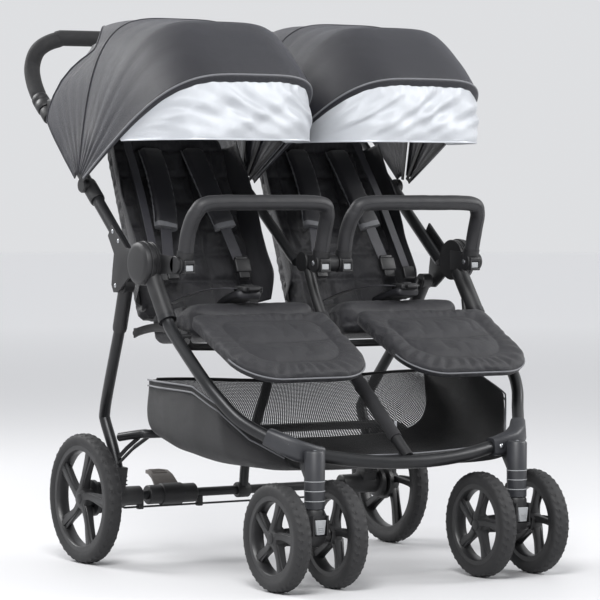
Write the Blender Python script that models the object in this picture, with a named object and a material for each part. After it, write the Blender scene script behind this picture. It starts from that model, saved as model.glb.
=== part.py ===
"""Side-by-side twin stroller: folding tube frame, twin-wheel casters, two seats, two canopies.

Metres, +Z up. Front is -Y, +X is the left side as its riders sit. Z = 0 is the floor.
Pieces that come in pairs are built for the left side and mirrored to the right.
"""

import math

import bmesh
import bpy
from mathutils import Matrix, Vector

for old in list(bpy.data.objects):
    bpy.data.objects.remove(old, do_unlink=True)

# Driving dimensions
GAP = 0.0003
SIDE_X = 0.352  # plane of the side tubes
TUBE_R = 0.0115

HINGE = Vector((0, -0.022, 0.589))  # main fold axis, along X
HINGE_R = 0.042
CAP_X = 0.378
REAR_PIVOT = Vector((0, 0.074, 0.545))  # top of the rear legs, along X
LINK_PIVOT = Vector((0, -0.100, 0.452))  # front end of the side link
LINK_END = Vector((0, 0.107, 0.452))
UPPER_START = Vector((SIDE_X, 0.0324, 0.588))
UPPER_SLOPE = Vector((0, 0.766, 0.643))

FRONT_R = 0.099
FRONT_AXLE = Vector((0, -0.377, FRONT_R))
CASTER = Vector((0.225, -0.408, 0))
TWIN_HALF = 0.0605  # caster axis to each front wheel's middle
REAR_R = 0.1265
REAR_AXLE = Vector((0, 0.219, REAR_R))
REAR_X = 0.357
TYRE_W = 0.034

CANOPY_PIVOT = Vector((0, 0.202, 0.735))
HOOD_MID = 0.194  # middle of one canopy
HOOD_HALF = 0.1890
HOOD_LINE = [(102, 0.3310), (112, 0.3370), (123, 0.3700), (136.9, 0.3880), (149.5, 0.4105)]  # degrees, reach
REAR_FRONT = 101.5  # degrees, where the rear panel ends inside the hood
REAR_REACH = 0.3215
REAR_HALF = 0.1838
HOOD_FRONT = math.radians(149.5)  # front rim
HOOD_TURNS = [math.pi * (0.015 + 0.97 * i / 12) for i in range(13)]
FABRIC = 0.0024
HEM_Z = 0.819  # level lower edge of the visor

SEAT_MID = 0.187
SEAT_HALF = 0.136
BACK_PIVOT = Vector((0, 0.092, 0.470))
BACK_LEAN = math.radians(67)
BACK_LENGTH = 0.41
LEG_PIVOT = Vector((0, -0.131, 0.490))
LEG_SLOPE = math.radians(27)
LEG_LENGTH = 0.235
BAR_PIVOT = Vector((0, -0.1105, 0.587))
BAR_OUT = 0.3253
BAR_IN = 0.0257
BAR_R = 0.0145

COLOURS = {
    "frame": ((0.035, 0.037, 0.040), 0.35, 0.7),
    "plastic": ((0.020, 0.020, 0.022), 0.5, 0.0),
    "light_plastic": ((0.42, 0.43, 0.44), 0.5, 0.0),
    "foam": ((0.012, 0.012, 0.013), 0.9, 0.0),
    "rubber": ((0.016, 0.016, 0.017), 0.8, 0.0),
    "steel": ((0.55, 0.56, 0.58), 0.3, 1.0),
    "seat_fabric": ((0.014, 0.014, 0.016), 0.9, 0.0),
    "canopy_fabric": ((0.022, 0.023, 0.030), 0.8, 0.0),
    "silver_fabric": ((0.66, 0.68, 0.71), 0.45, 0.2),
    "basket_fabric": ((0.018, 0.018, 0.020), 0.9, 0.0),
}


def material(name):
    found = bpy.data.materials.get(name)
    if found:
        return found
    colour, roughness, metallic = COLOURS[name]
    made = bpy.data.materials.new(name)
    made.use_nodes = True
    shader = made.node_tree.nodes["Principled BSDF"]
    shader.inputs["Base Color"].default_value = (*colour, 1)
    shader.inputs["Roughness"].default_value = roughness
    shader.inputs["Metallic"].default_value = metallic
    return made


def mesh_from(bm):
    bmesh.ops.recalc_face_normals(bm, faces=bm.faces)
    mesh = bpy.data.meshes.new("piece")
    bm.to_mesh(mesh)
    bm.free()
    return mesh


def smooth_path(points, steps=4):
    """Points read from a Catmull-Rom curve through the given ones."""
    p = [Vector(q) for q in points]
    p = [2 * p[0] - p[1], *p, 2 * p[-1] - p[-2]]
    path = []
    for a, b, c, d in zip(p, p[1:], p[2:], p[3:]):
        for i in range(steps):
            t = i / steps
            path.append(
                0.5 * (2 * b + (c - a) * t + (2 * a - 5 * b + 4 * c - d) * t**2
                       + (3 * b - a - 3 * c + d) * t**3)
            )
    return [*path, p[-2]]


def tube(points, radius, sides=8, bore=0.0):
    """A round tube along a path with flat ends; with a bore it is an open sleeve."""
    points = [Vector(q) for q in points]
    ways = [(b - a).normalized() for a, b in zip(points, points[1:])]
    ways = [ways[0], *[(a + b).normalized() for a, b in zip(ways, ways[1:])], ways[-1]]
    side = ways[0].orthogonal().normalized()
    bm = bmesh.new()
    rings = []
    for i, (point, way) in enumerate(zip(points, ways)):
        if i:
            side = ways[i - 1].rotation_difference(way) @ side
        other = way.cross(side)
        turns = [2 * math.pi * k / sides for k in range(sides)]
        spokes = [math.cos(t) * side + math.sin(t) * other for t in turns]
        loops = [[bm.verts.new(point + r * s) for s in spokes] for r in (radius, bore) if r]
        rings.append(loops)
    for a, b in zip(rings, rings[1:]):
        for loop_a, loop_b in zip(a, b):
            join_loops(bm, loop_a, loop_b)
    for loops in (rings[0], rings[-1]):
        if bore:
            join_loops(bm, *loops)
        else:
            bm.faces.new(loops[0])
    return mesh_from(bm)


def join_loops(bm, a, b):
    for i in range(len(a)):
        j = (i + 1) % len(a)
        bm.faces.new((a[i], a[j], b[j], b[i]))


def turned(profile, centre, segments=16, closed=False):
    """Turns (x, radius) points about an axis along X through centre."""
    bm = bmesh.new()
    loops = []
    for x, radius in profile:
        turns = [2 * math.pi * k / segments for k in range(segments)]
        around = [(centre[0] + x, centre[1] + radius * math.cos(t), centre[2] + radius * math.sin(t))
                  for t in turns]
        loops.append([bm.verts.new(p) for p in around])
    for a, b in zip(loops, loops[1:]):
        join_loops(bm, a, b)
    if closed:
        join_loops(bm, loops[-1], loops[0])
    else:
        bm.faces.new(loops[0])
        bm.faces.new(loops[-1])
    return mesh_from(bm)


def disc(centre, radius, low, high, segments=16):
    """A round plate about an axis along X, from x = low to x = high."""
    return turned([(low, radius), (high, radius)], (0, centre[1], centre[2]), segments)


def post(x, y, low, high, radius, segments=16):
    bm = bmesh.new()
    loops = []
    for z in (low, high):
        turns = [2 * math.pi * k / segments for k in range(segments)]
        loops.append([bm.verts.new((x + radius * math.cos(t), y + radius * math.sin(t), z)) for t in turns])
    join_loops(bm, *loops)
    bm.faces.new(loops[0])
    bm.faces.new(loops[1])
    return mesh_from(bm)


def plate(outline, low, high, bevel=0.0):
    """A plate from x = low to x = high with this (y, z) outline."""
    bm = bmesh.new()
    face = bm.faces.new([bm.verts.new((low, y, z)) for y, z in outline])
    grown = bmesh.ops.extrude_face_region(bm, geom=[face])["geom"]
    moved = [v for v in grown if isinstance(v, bmesh.types.BMVert)]
    bmesh.ops.translate(bm, verts=moved, vec=(high - low, 0, 0))
    if bevel:
        bmesh.ops.bevel(bm, geom=bm.edges[:], offset=bevel, segments=1, profile=0.5,
                        affect="EDGES", material=-1)
    return mesh_from(bm)


def block(low, high, bevel=0.0):
    outline = [(low[1], low[2]), (high[1], low[2]), (high[1], high[2]), (low[1], high[2])]
    return plate(outline, low[0], high[0], bevel)


def shell(grid, thickness):
    """A sheet through a grid of points, given its thickness on the inner side."""
    bm = bmesh.new()
    rows = [[bm.verts.new(p) for p in row] for row in grid]
    for a, b in zip(rows, rows[1:]):
        for i in range(len(a) - 1):
            bm.faces.new((a[i], a[i + 1], b[i + 1], b[i]))
    mesh = mesh_from(bm)
    work = bpy.data.objects.new("shell", mesh)
    bpy.context.scene.collection.objects.link(work)
    wall = work.modifiers.new("wall", "SOLIDIFY")
    wall.thickness = thickness
    wall.offset = 0
    wall.use_even_offset = True
    return baked(work)


def evaluated(work):
    """The mesh of a working object with its modifiers applied."""
    bpy.context.view_layer.update()
    graph = bpy.context.evaluated_depsgraph_get()
    return bpy.data.meshes.new_from_object(work.evaluated_get(graph))


def baked(work):
    """The same, and the working object is then removed."""
    mesh = evaluated(work)
    bpy.data.objects.remove(work, do_unlink=True)
    return mesh


def combined(base, others, operation):
    work = bpy.data.objects.new("work", base)
    bpy.context.scene.collection.objects.link(work)
    for other in others:
        tool = bpy.data.objects.new("tool", other)
        bpy.context.scene.collection.objects.link(tool)
        step = work.modifiers.new("step", "BOOLEAN")
        step.operation = operation
        step.object = tool
        work.data = evaluated(work)
        work.modifiers.clear()
        bpy.data.objects.remove(tool, do_unlink=True)
    mesh = work.data
    bpy.data.objects.remove(work, do_unlink=True)
    return mesh


def united(base, *others):
    return combined(base, others, "UNION")


def cut(base, *others):
    return combined(base, others, "DIFFERENCE")


def mirrored(mesh):
    other = mesh.copy()
    other.transform(Matrix.Scale(-1, 4, (1, 0, 0)))
    other.flip_normals()
    return other


def piece(name, mesh, finish, pivot=(0, 0, 0)):
    """One named object whose origin sits on the axis it moves about."""
    pivot = Vector(pivot)
    mesh.name = name
    mesh.transform(Matrix.Translation(-pivot))
    mesh.materials.clear()
    mesh.materials.append(material(finish))
    mesh.shade_smooth()
    mesh.set_sharp_from_angle(angle=math.radians(40))
    made = bpy.data.objects.new(name, mesh)
    made.location = pivot
    bpy.context.scene.collection.objects.link(made)
    return made


def pair(name, mesh, finish, pivot=(0, 0, 0)):
    pivot = Vector(pivot)
    other = mirrored(mesh)
    piece(name + "_left", mesh, finish, pivot)
    piece(name + "_right", other, finish, (-pivot.x, pivot.y, pivot.z))


def on_upper(distance):
    """A point on the left upper tube's middle line."""
    return UPPER_START + distance * UPPER_SLOPE


# ---------------------------------------------------------------- lower frame
def front_legs():
    route = [
        (SIDE_X, -0.1005, 0.4795), (SIDE_X, -0.119, 0.460), (0.348, -0.214, 0.385),
        (0.336, -0.256, 0.346), (0.313, -0.290, 0.308), (0.284, -0.332, 0.281), (0.2712, -0.3495, 0.2725),
    ]
    pair("front_leg", tube(smooth_path(route, 2), TUBE_R, 10), "frame")


def crossbar_point(x):
    """The crossbar bows forward and down between the casters."""
    bow = 1 - (x / 0.2) ** 2
    return Vector((x, -0.370 - 0.024 * bow, 0.245 - 0.020 * bow))


def front_crossbar():
    xs = [-0.188 + 0.047 * i for i in range(9)]
    piece("front_crossbar", tube([crossbar_point(x) for x in xs], 0.0125), "frame")


def caster_housings():
    barrel = post(CASTER.x, CASTER.y, 0.150, 0.2555, 0.019, 18)
    clamp = block((0.1945, -0.388, 0.228), (0.2600, -0.352, 0.282), 0.006)
    neck = block((0.212, -0.410, 0.230), (0.244, -0.370, 0.2555))
    body = united(barrel, clamp, neck)
    bore = post(CASTER.x, CASTER.y, 0.140, 0.215, 0.0075, 12)
    pair("caster_housing", cut(body, bore), "plastic", CASTER)


def centre_front_frame():
    """The middle tube, its hinge cheeks and bumper sockets, and the seat's front bar."""
    start = crossbar_point(0) + Vector((0, 0.0175, 0.0085))
    rise = [start, (0, -0.221, 0.355), (0, -0.130, 0.425), (0, -0.070, 0.500), (0, -0.0290, 0.578)]
    middle = tube(smooth_path(rise, 3), 0.0105)
    bar_ends = [(0.3350, -0.135, 0.446), (0.310, -0.112, 0.434), (0.25, -0.105, 0.432)]
    bar_route = [*bar_ends, (0, -0.105, 0.432), *[(-x, y, z) for x, y, z in reversed(bar_ends)]]
    bar = tube(bar_route, 0.0075, 8)
    knuckle = disc(HINGE, 0.020, -0.0115, 0.0115, 14)
    socket = disc(BAR_PIVOT, 0.016, -0.0105, 0.0105, 14)
    arm = plate([(-0.112, 0.576), (-0.022, 0.574), (-0.022, 0.602), (-0.112, 0.598)], -0.008, 0.008)
    slot = disc(HINGE, 0.026, -0.0045, 0.0045, 14)
    body = cut(united(middle, bar, knuckle, arm, socket), slot)
    piece("centre_front_frame", body, "frame")


def hinge_bases():
    """Lower half of each side hinge: ribbed disc, sleeve for the leg, bumper socket and link lug."""
    ribbed = [(0.3425, 0.040), (0.3480, 0.040), (0.3495, 0.038), (0.3510, 0.040), (0.3562, 0.040)]
    round_part = turned(ribbed, (0, HINGE.y, HINGE.z), 20)
    sleeve = tube([(SIDE_X, -0.030, 0.578), (SIDE_X, -0.050, 0.550), (SIDE_X, -0.0990, 0.4815)], 0.0165, 12)
    sleeve_cap = cut(sleeve, disc(HINGE, 0.060, 0.3562, 0.40, 20))
    arm = plate([(-0.104, 0.572), (-0.022, 0.570), (-0.022, 0.606), (-0.108, 0.602)], 0.3405, 0.3455)
    socket = disc(BAR_PIVOT, 0.016, 0.3405, 0.3455, 14)
    lug = disc(LINK_PIVOT, 0.011, 0.3275, 0.3390, 12)
    stalk = tube([(0.341, -0.070, 0.512), (0.3335, -0.086, 0.480), (0.3335, -0.098, 0.456)], 0.0055, 8)
    pair("hinge_base", united(round_part, sleeve_cap, arm, socket, stalk, lug), "plastic", HINGE)


# --------------------------------------------------------------------- casters
def wheel_rim(x, axle, radius, hub_out, hub_in, bore, twist):
    """A moulded wheel: a channel ring, five slanting spokes and a hub with a blind bore."""
    ring_out = radius - 0.0235
    ring_in = radius - 0.0345
    half = TYRE_W / 2 - 0.004
    ring = turned([(-half, ring_in), (-half, ring_out), (half, ring_out), (half, ring_in)],
                  (x, axle.y, axle.z), 28, closed=True)
    hub = turned([(-hub_in, 0.019), (hub_out * 0.6, 0.021), (hub_out, 0.014)], (x, axle.y, axle.z), 10)
    spokes = []
    for k in range(5):
        turn = 2 * math.pi * k / 5 + math.pi / 2
        spoke = bmesh.new()
        bmesh.ops.create_cube(spoke, size=1)
        length = ring_in - 0.010
        shape = (Matrix.Translation((x, axle.y, axle.z)) @ Matrix.Rotation(turn, 4, "X")
                 @ Matrix.Translation((0, 0.013 + length / 2, 0))
                 @ Matrix.Rotation(twist, 4, "X")
                 @ Matrix.Diagonal((0.018, length, 0.019, 1)))
        bmesh.ops.transform(spoke, matrix=shape, verts=spoke.verts)
        spokes.append(mesh_from(spoke))
    body = united(ring, hub, *spokes)
    hole = turned([(-0.06, bore), (hub_out - 0.006, bore)], (x, axle.y, axle.z), 8)
    return cut(body, hole)


def wheel_tyre(x, axle, radius):
    inner = radius - 0.0235 + GAP
    half = TYRE_W / 2
    profile = [(-half + 0.003, inner), (-half, radius - 0.010), (-half + 0.008, radius),
               (half - 0.008, radius), (half, radius - 0.010), (half - 0.003, inner)]
    return turned(profile, (x, axle.y, axle.z), 28, closed=True)


def front_wheels():
    for name, x in (("outer", CASTER.x + TWIN_HALF), ("inner", CASTER.x - TWIN_HALF)):
        out = 0.017 if name == "outer" else 0.013
        axis = Vector((x, FRONT_AXLE.y, FRONT_AXLE.z))
        rim = wheel_rim(0, FRONT_AXLE, FRONT_R, out, 0.013, 0.0065, 0.32)
        if name == "inner":
            rim = mirrored(rim)
        rim.transform(Matrix.Translation((x, 0, 0)))
        pair("front_rim_" + name, rim, "plastic", axis)
        pair("front_tyre_" + name, wheel_tyre(x, FRONT_AXLE, FRONT_R), "rubber", axis)


def caster_forks():
    """Swivel stem, yoke and the cross axle that both small wheels turn on."""
    stem = post(CASTER.x, CASTER.y, 0.120, 0.2145, 0.0070, 12)
    crown = post(CASTER.x, CASTER.y, 0.134, 0.1497, 0.019, 18)
    sides = [(-0.427, 0.148), (-0.427, 0.120), (-0.400, 0.084), (-0.360, 0.080), (-0.356, 0.112), (-0.388, 0.148)]
    yoke = plate(sides, CASTER.x - 0.017, CASTER.x + 0.017, 0.003)
    reach = TWIN_HALF - 0.0134
    hub = disc(FRONT_AXLE, 0.016, CASTER.x - reach, CASTER.x + reach, 16)
    axle = disc(FRONT_AXLE, 0.0058, CASTER.x - TWIN_HALF - 0.006, CASTER.x + TWIN_HALF + 0.009, 12)
    pocket = block((CASTER.x - 0.0125, -0.440, 0.104), (CASTER.x + 0.0125, -0.4155, 0.133))
    body = united(crown, stem, yoke, hub, axle)
    pair("caster_fork", cut(body, pocket), "plastic", CASTER)


def swivel_locks():
    low, high = 0.106, 0.1315
    bm = bmesh.new()
    outline = [(-0.008, low), (0.008, low), (0.0118, high), (-0.0118, high)]
    face = bm.faces.new([bm.verts.new((CASTER.x + x, -0.4285, z)) for x, z in outline])
    grown = bmesh.ops.extrude_face_region(bm, geom=[face])["geom"]
    moved = [v for v in grown if isinstance(v, bmesh.types.BMVert)]
    bmesh.ops.translate(bm, verts=moved, vec=(0, 0.006, 0))
    pair("swivel_lock", mesh_from(bm), "light_plastic", (CASTER.x, -0.4255, 0.1300))


# ------------------------------------------------------------------ rear frame
def rear_legs():
    """Bent tube with a plastic top sleeve, and the foot that carries the stub axle."""
    top = Vector((0.345, REAR_PIVOT.y, REAR_PIVOT.z))
    sleeve_end = Vector((0.334, 0.121, 0.458))
    bend = Vector((0.302, 0.243, 0.284))
    foot_top = Vector((0.295, 0.199, 0.176))
    sleeve = tube([top, sleeve_end], 0.0140, 12)
    knuckle = disc(REAR_PIVOT, 0.0145, 0.3335, 0.3560, 14)
    pin = disc(REAR_PIVOT, 0.006, 0.350, 0.3636, 10)
    shank = [sleeve_end + 0.1 * (top - sleeve_end), sleeve_end, (0.312, 0.208, 0.336), bend,
             (0.298, 0.214, 0.224), foot_top, (0.295, 0.203, 0.150)]
    shaft = tube(shank, 0.0110)
    foot = disc(REAR_AXLE, 0.019, 0.2352, 0.330, 16)
    heel = plate([(0.186, 0.178), (0.213, 0.180), (0.236, 0.135), (0.206, 0.120)], 0.279, 0.311, 0.003)
    flange = disc(REAR_AXLE, 0.031, 0.322, 0.330, 16)
    stub = disc(REAR_AXLE, 0.0058, 0.325, REAR_X + 0.008, 12)
    body = united(sleeve, knuckle, pin, shaft, foot, heel, flange, stub)
    hole = disc(REAR_AXLE + Vector((0, 0, 0.0255)), 0.0034, 0.300, 0.340, 10)
    pair("rear_leg", cut(body, hole), "frame", REAR_PIVOT)


def rear_centre():
    piece("rear_axle", tube([(-0.2349, REAR_AXLE.y, REAR_AXLE.z), (0.2349, REAR_AXLE.y, REAR_AXLE.z)], 0.0090),
          "frame")
    ends = [(0.2895, 0.182, 0.245), (0.272, 0.135, 0.255), (0.235, 0.107, 0.256)]
    route = [*ends, *[(-x, y, z) for x, y, z in reversed(ends)]]
    piece("rear_cross_tube", tube(route, 0.0085), "frame")
    route = [(0, 0.085, 0.500), (0, 0.119, 0.352), (0, 0.198, 0.200), (0, 0.2135, 0.1445)]
    piece("centre_rear_leg", tube(smooth_path(route, 3), 0.0095), "frame")


def rear_wheels():
    axis = Vector((REAR_X, REAR_AXLE.y, REAR_AXLE.z))
    rim = wheel_rim(REAR_X, REAR_AXLE, REAR_R, 0.018, 0.013, 0.0065, 0.36)
    flange = turned([(-0.021, 0.034), (-0.012, 0.034), (-0.012, 0.0065), (-0.021, 0.0065)],
                    (REAR_X, REAR_AXLE.y, REAR_AXLE.z), 16, closed=True)
    pockets = []
    for k in range(8):
        turn = math.pi / 2 + k * math.pi / 4
        spot = REAR_AXLE + 0.0255 * Vector((0, math.cos(turn), math.sin(turn)))
        pockets.append(disc(spot, 0.0046, REAR_X - 0.024, REAR_X - 0.0125, 6))
    pair("rear_rim", cut(united(rim, flange), *pockets), "plastic", axis)
    pair("rear_tyre", wheel_tyre(REAR_X, REAR_AXLE, REAR_R), "rubber", axis)
    spot = REAR_AXLE + Vector((0, 0, 0.0255))
    pair("brake_pin", disc(spot, 0.0030, 0.3120, 0.3352, 8), "steel", spot)


def brake_pedal():
    """Foot pedal on a sleeve that turns on the axle tube, right-hand side."""
    sleeve = turned([(-0.219, 0.0095), (-0.219, 0.019), (-0.112, 0.019), (-0.112, 0.0095)],
                    REAR_AXLE, 16, closed=True)
    tongue = plate([(0.226, 0.137), (0.272, 0.168), (0.292, 0.170), (0.293, 0.163), (0.274, 0.158), (0.236, 0.124)],
                   -0.192, -0.137, 0.002)
    piece("brake_pedal", united(sleeve, tongue), "plastic", REAR_AXLE)


def fold_links():
    """Arched flat link from the front leg's lug back to the rear leg."""
    top, bottom = [], []
    for i in range(9):
        t = i / 8
        y = LINK_PIVOT.y + t * (LINK_END.y - LINK_PIVOT.y)
        z = LINK_PIVOT.z + 0.014 * math.sin(math.pi * t)
        top.append((y, z + 0.008))
        bottom.append((y, z - 0.008))
    bar = plate([*bottom, *reversed(top)], 0.3065, 0.3115)
    pin = disc(LINK_PIVOT, 0.006, 0.308, 0.3271, 10)
    pair("fold_link", united(bar, pin), "plastic", LINK_PIVOT)


# ----------------------------------------------------------------- upper frame
def hinge_caps():
    """Upper half of each side hinge: the round cap and the plate that carries tube and rear leg."""
    profile = [(0.3566, HINGE_R), (0.3640, HINGE_R), (0.3660, 0.039), (0.3720, 0.039), (CAP_X, 0.029)]
    cap = turned(profile, (0, HINGE.y, HINGE.z), 20)
    outline = [(-0.050, 0.565), (-0.030, 0.625), (0.020, 0.607), (0.088, 0.662), (0.104, 0.640), (0.078, 0.602),
               (0.088, 0.542), (0.074, 0.530), (0.060, 0.536), (0.024, 0.560)]
    pair("hinge_cap", united(cap, plate(outline, 0.3640, 0.3690)), "plastic", HINGE)


def upper_tubes():
    pair("upper_tube", tube([on_upper(0), on_upper(0.235), on_upper(0.470)], TUBE_R), "frame", HINGE)
    knuckle = disc(HINGE, 0.019, -0.0040, 0.0040, 14)
    stem = tube([(0, HINGE.y + 0.010, HINGE.z), (0, 0.030, 0.600), (0, 0.190, 0.722)], 0.0038, 8)
    sheath = tube([(0, 0.012, 0.588), (0, 0.030, 0.600), (0, 0.190, 0.722)], 0.0100)
    piece("centre_upper_tube", united(knuckle, stem, sheath), "frame", HINGE)


def handle_route():
    side = [on_upper(0.4702 + 0.0005), on_upper(0.500), (0.350, 0.447, 0.946), (0.346, 0.4605, 0.980),
            (0.336, 0.450, 1.012), (0.300, 0.439, 1.031), (0.240, 0.437, 1.035)]
    side = [Vector(p) for p in side]
    return smooth_path([*side, *[Vector((-p.x, p.y, p.z)) for p in reversed(side)]], 2)


def push_handle():
    route = handle_route()
    core = tube(route, 0.0100)
    collars = [tube([Vector((s * p.x, p.y, p.z)) for p in (on_upper(0.4707), on_upper(0.500))], 0.0165, 12)
               for s in (-1, 1)]
    piece("handle_tube", united(core, *collars), "frame", HINGE)
    inside = [p for p in route if p.z > on_upper(0.502).z]
    piece("handle_grip", tube(inside, 0.0160, bore=0.0114), "foam", HINGE)


# ----------------------------------------------------------------------- seats
def rounded_outline(corners, radius, steps=3):
    """A closed (a, b) outline with its corners rounded."""
    out = []
    count = len(corners)
    for i in range(count):
        here = Vector(corners[i])
        into = (Vector(corners[i - 1]) - here).normalized()
        away = (Vector(corners[(i + 1) % count]) - here).normalized()
        reach = radius if not isinstance(radius, (list, tuple)) else radius[i]
        for k in range(steps + 1):
            t = k / steps
            out.append(here + reach * ((1 - t) ** 2 * into + t**2 * away))
    return out


def pad(outline, thickness, frame):
    """A cushion solid: an outline in the pad's own plane, thinner at its rim, set by a matrix."""
    bm = bmesh.new()
    middle = sum(outline, Vector((0, 0))) / len(outline)
    loops = []
    for height, shrink in ((-0.5, 0.93), (-0.28, 1.0), (0.22, 1.0), (0.5, 0.90)):
        ring = [middle + (p - middle) * shrink for p in outline]
        loops.append([bm.verts.new((p.x, p.y, height * thickness)) for p in ring])
    for a, b in zip(loops, loops[1:]):
        join_loops(bm, a, b)
    bm.faces.new(loops[0])
    bm.faces.new(loops[-1])
    bmesh.ops.transform(bm, matrix=frame, verts=bm.verts)
    return mesh_from(bm)


def tilted(centre, angle):
    """Pad plane whose own +Y runs up at this angle from the horizontal towards +Y."""
    return Matrix.Translation(centre) @ Matrix.Rotation(angle, 4, "X")


def seats():
    low, high = SEAT_MID - SEAT_HALF - 0.018, SEAT_MID + SEAT_HALF - 0.021
    base = plate([(-0.112, 0.452), (-0.112, 0.500), (-0.104, 0.506), (0.040, 0.484), (0.058, 0.474), (0.060, 0.438)],
                 low, high, 0.006)
    pair("seat_base", base, "seat_fabric")
    half = 0.133
    outline = rounded_outline([(-half, 0), (half, 0), (half * 0.93, BACK_LENGTH), (-half * 0.93, BACK_LENGTH)],
                              [0.02, 0.02, 0.06, 0.06])
    centre = Vector((SEAT_MID - 0.017, BACK_PIVOT.y, BACK_PIVOT.z + 0.006))
    back = pad(outline, 0.042, tilted(centre, BACK_LEAN))
    pair("seat_back", back, "seat_fabric", BACK_PIVOT)


def leg_rests():
    outline = rounded_outline([(-0.149, -0.010), (-0.137, -LEG_LENGTH), (0.137, -LEG_LENGTH), (0.149, -0.010)],
                              [0.02, 0.075, 0.075, 0.02], 4)
    centre = Vector((SEAT_MID - 0.004, LEG_PIVOT.y, LEG_PIVOT.z))
    pair("leg_rest", pad(outline, 0.032, tilted(centre, LEG_SLOPE)), "seat_fabric", LEG_PIVOT)


def bumper_bars():
    """Padded bar across each seat, with a round knuckle and a release button at each foot."""
    def foot(x):
        return [(x, BAR_PIVOT.y - 0.003, 0.597), (x, -0.130, 0.650)]
    out, back = foot(BAR_OUT), foot(BAR_IN)
    route = [*out, (0.3185, -0.147, 0.685), (0.292, -0.156, 0.7015), (0.20, -0.158, 0.703), (0.16, -0.158, 0.703),
             (0.059, -0.156, 0.7015), (0.0325, -0.147, 0.685), *reversed(back)]
    body = tube(smooth_path(route, 2), BAR_R)
    for x in (BAR_OUT, BAR_IN):
        knuckle = disc(BAR_PIVOT, 0.0175, x - 0.0132, x + 0.0142, 16)
        body = united(body, knuckle)
    for x, name in ((BAR_OUT, "outer"), (BAR_IN, "inner")):
        low, high = (x - 0.0065, -0.140, 0.574), (x + 0.0045, BAR_PIVOT.y - 0.0095, 0.5865)
        body = cut(body, block(low, high))
        button = block((low[0] + GAP, -0.1300, low[2] + GAP), (high[0] - GAP, high[1] - 0.0040, high[2] - GAP))
        pair("bumper_button_" + name, button, "light_plastic", (x, -0.128, 0.580))
    pair("bumper_bar", body, "foam", BAR_PIVOT)


# -------------------------------------------------------------------- canopies
def hoop_point(angle, turn, reach, half, power=4.0, middle=HOOD_MID):
    """A point on a bow: a rounded hoop in a plane through the canopy pivots."""
    across = math.copysign(abs(math.cos(turn)) ** (2 / power), math.cos(turn))
    out = reach * abs(math.sin(turn)) ** (2 / power)
    return Vector((middle + half * across, CANOPY_PIVOT.y + out * math.cos(angle),
                   CANOPY_PIVOT.z + out * math.sin(angle)))


def hood_reach(angle):
    """How far the fabric stands from the pivot, read between the two bows and the front rim."""
    for (low, near), (high, far) in zip(HOOD_LINE, HOOD_LINE[1:]):
        if math.degrees(angle) <= high + 0.01:
            return near + (far - near) * (math.degrees(angle) - low) / (high - low)
    return HOOD_LINE[-1][1]


def rear_end(turn):
    """Angle of the rear panel's free edge: low beside the upper tube, and high behind the head."""
    out = abs(math.sin(turn)) ** 0.5
    rise = min(1, max(0, (out - 0.60) / 0.22))
    back = min(1, max(0, (math.sin(turn) - 0.70) / 0.29))
    return 48 + 44 * rise**2 * (3 - 2 * rise) - 18 * back**2 * (3 - 2 * back)


def canopies():
    rows = []
    for degrees, reach in HOOD_LINE:
        rows.append([hoop_point(math.radians(degrees), t, reach, HOOD_HALF) for t in HOOD_TURNS])
    pair("canopy_hood", shell(rows, FABRIC), "canopy_fabric", CANOPY_PIVOT)
    rows = []
    for i in range(5):
        row = []
        for t in HOOD_TURNS:
            end = rear_end(t)
            row.append(hoop_point(math.radians(end + (REAR_FRONT - end) * i / 4), t, REAR_REACH, REAR_HALF))
        rows.append(row)
    pair("canopy_rear", shell(rows, FABRIC), "canopy_fabric", CANOPY_PIVOT)


def visors():
    """Light flap hanging from the front rim to a level hem, inside the hood's edge."""
    turns = [math.pi * (0.075 + 0.85 * i / 12) for i in range(13)]
    top = [hoop_point(HOOD_FRONT, t, hood_reach(HOOD_FRONT) - 0.006, HOOD_HALF - 0.0055) for t in turns]
    rows = []
    for k in range(3):
        v = k / 2
        row = []
        for p in top:
            hem = Vector((p.x, p.y - 0.012, HEM_Z))
            row.append(p.lerp(hem, v) + Vector((0, -0.012 * math.sin(math.pi * v), 0)))
        rows.append(row)
    rim_top = CANOPY_PIVOT + (hood_reach(HOOD_FRONT) - 0.006) * Vector((0, math.cos(HOOD_FRONT), math.sin(HOOD_FRONT)))
    pair("visor", shell(rows, 0.0022), "silver_fabric", rim_top)


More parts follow.
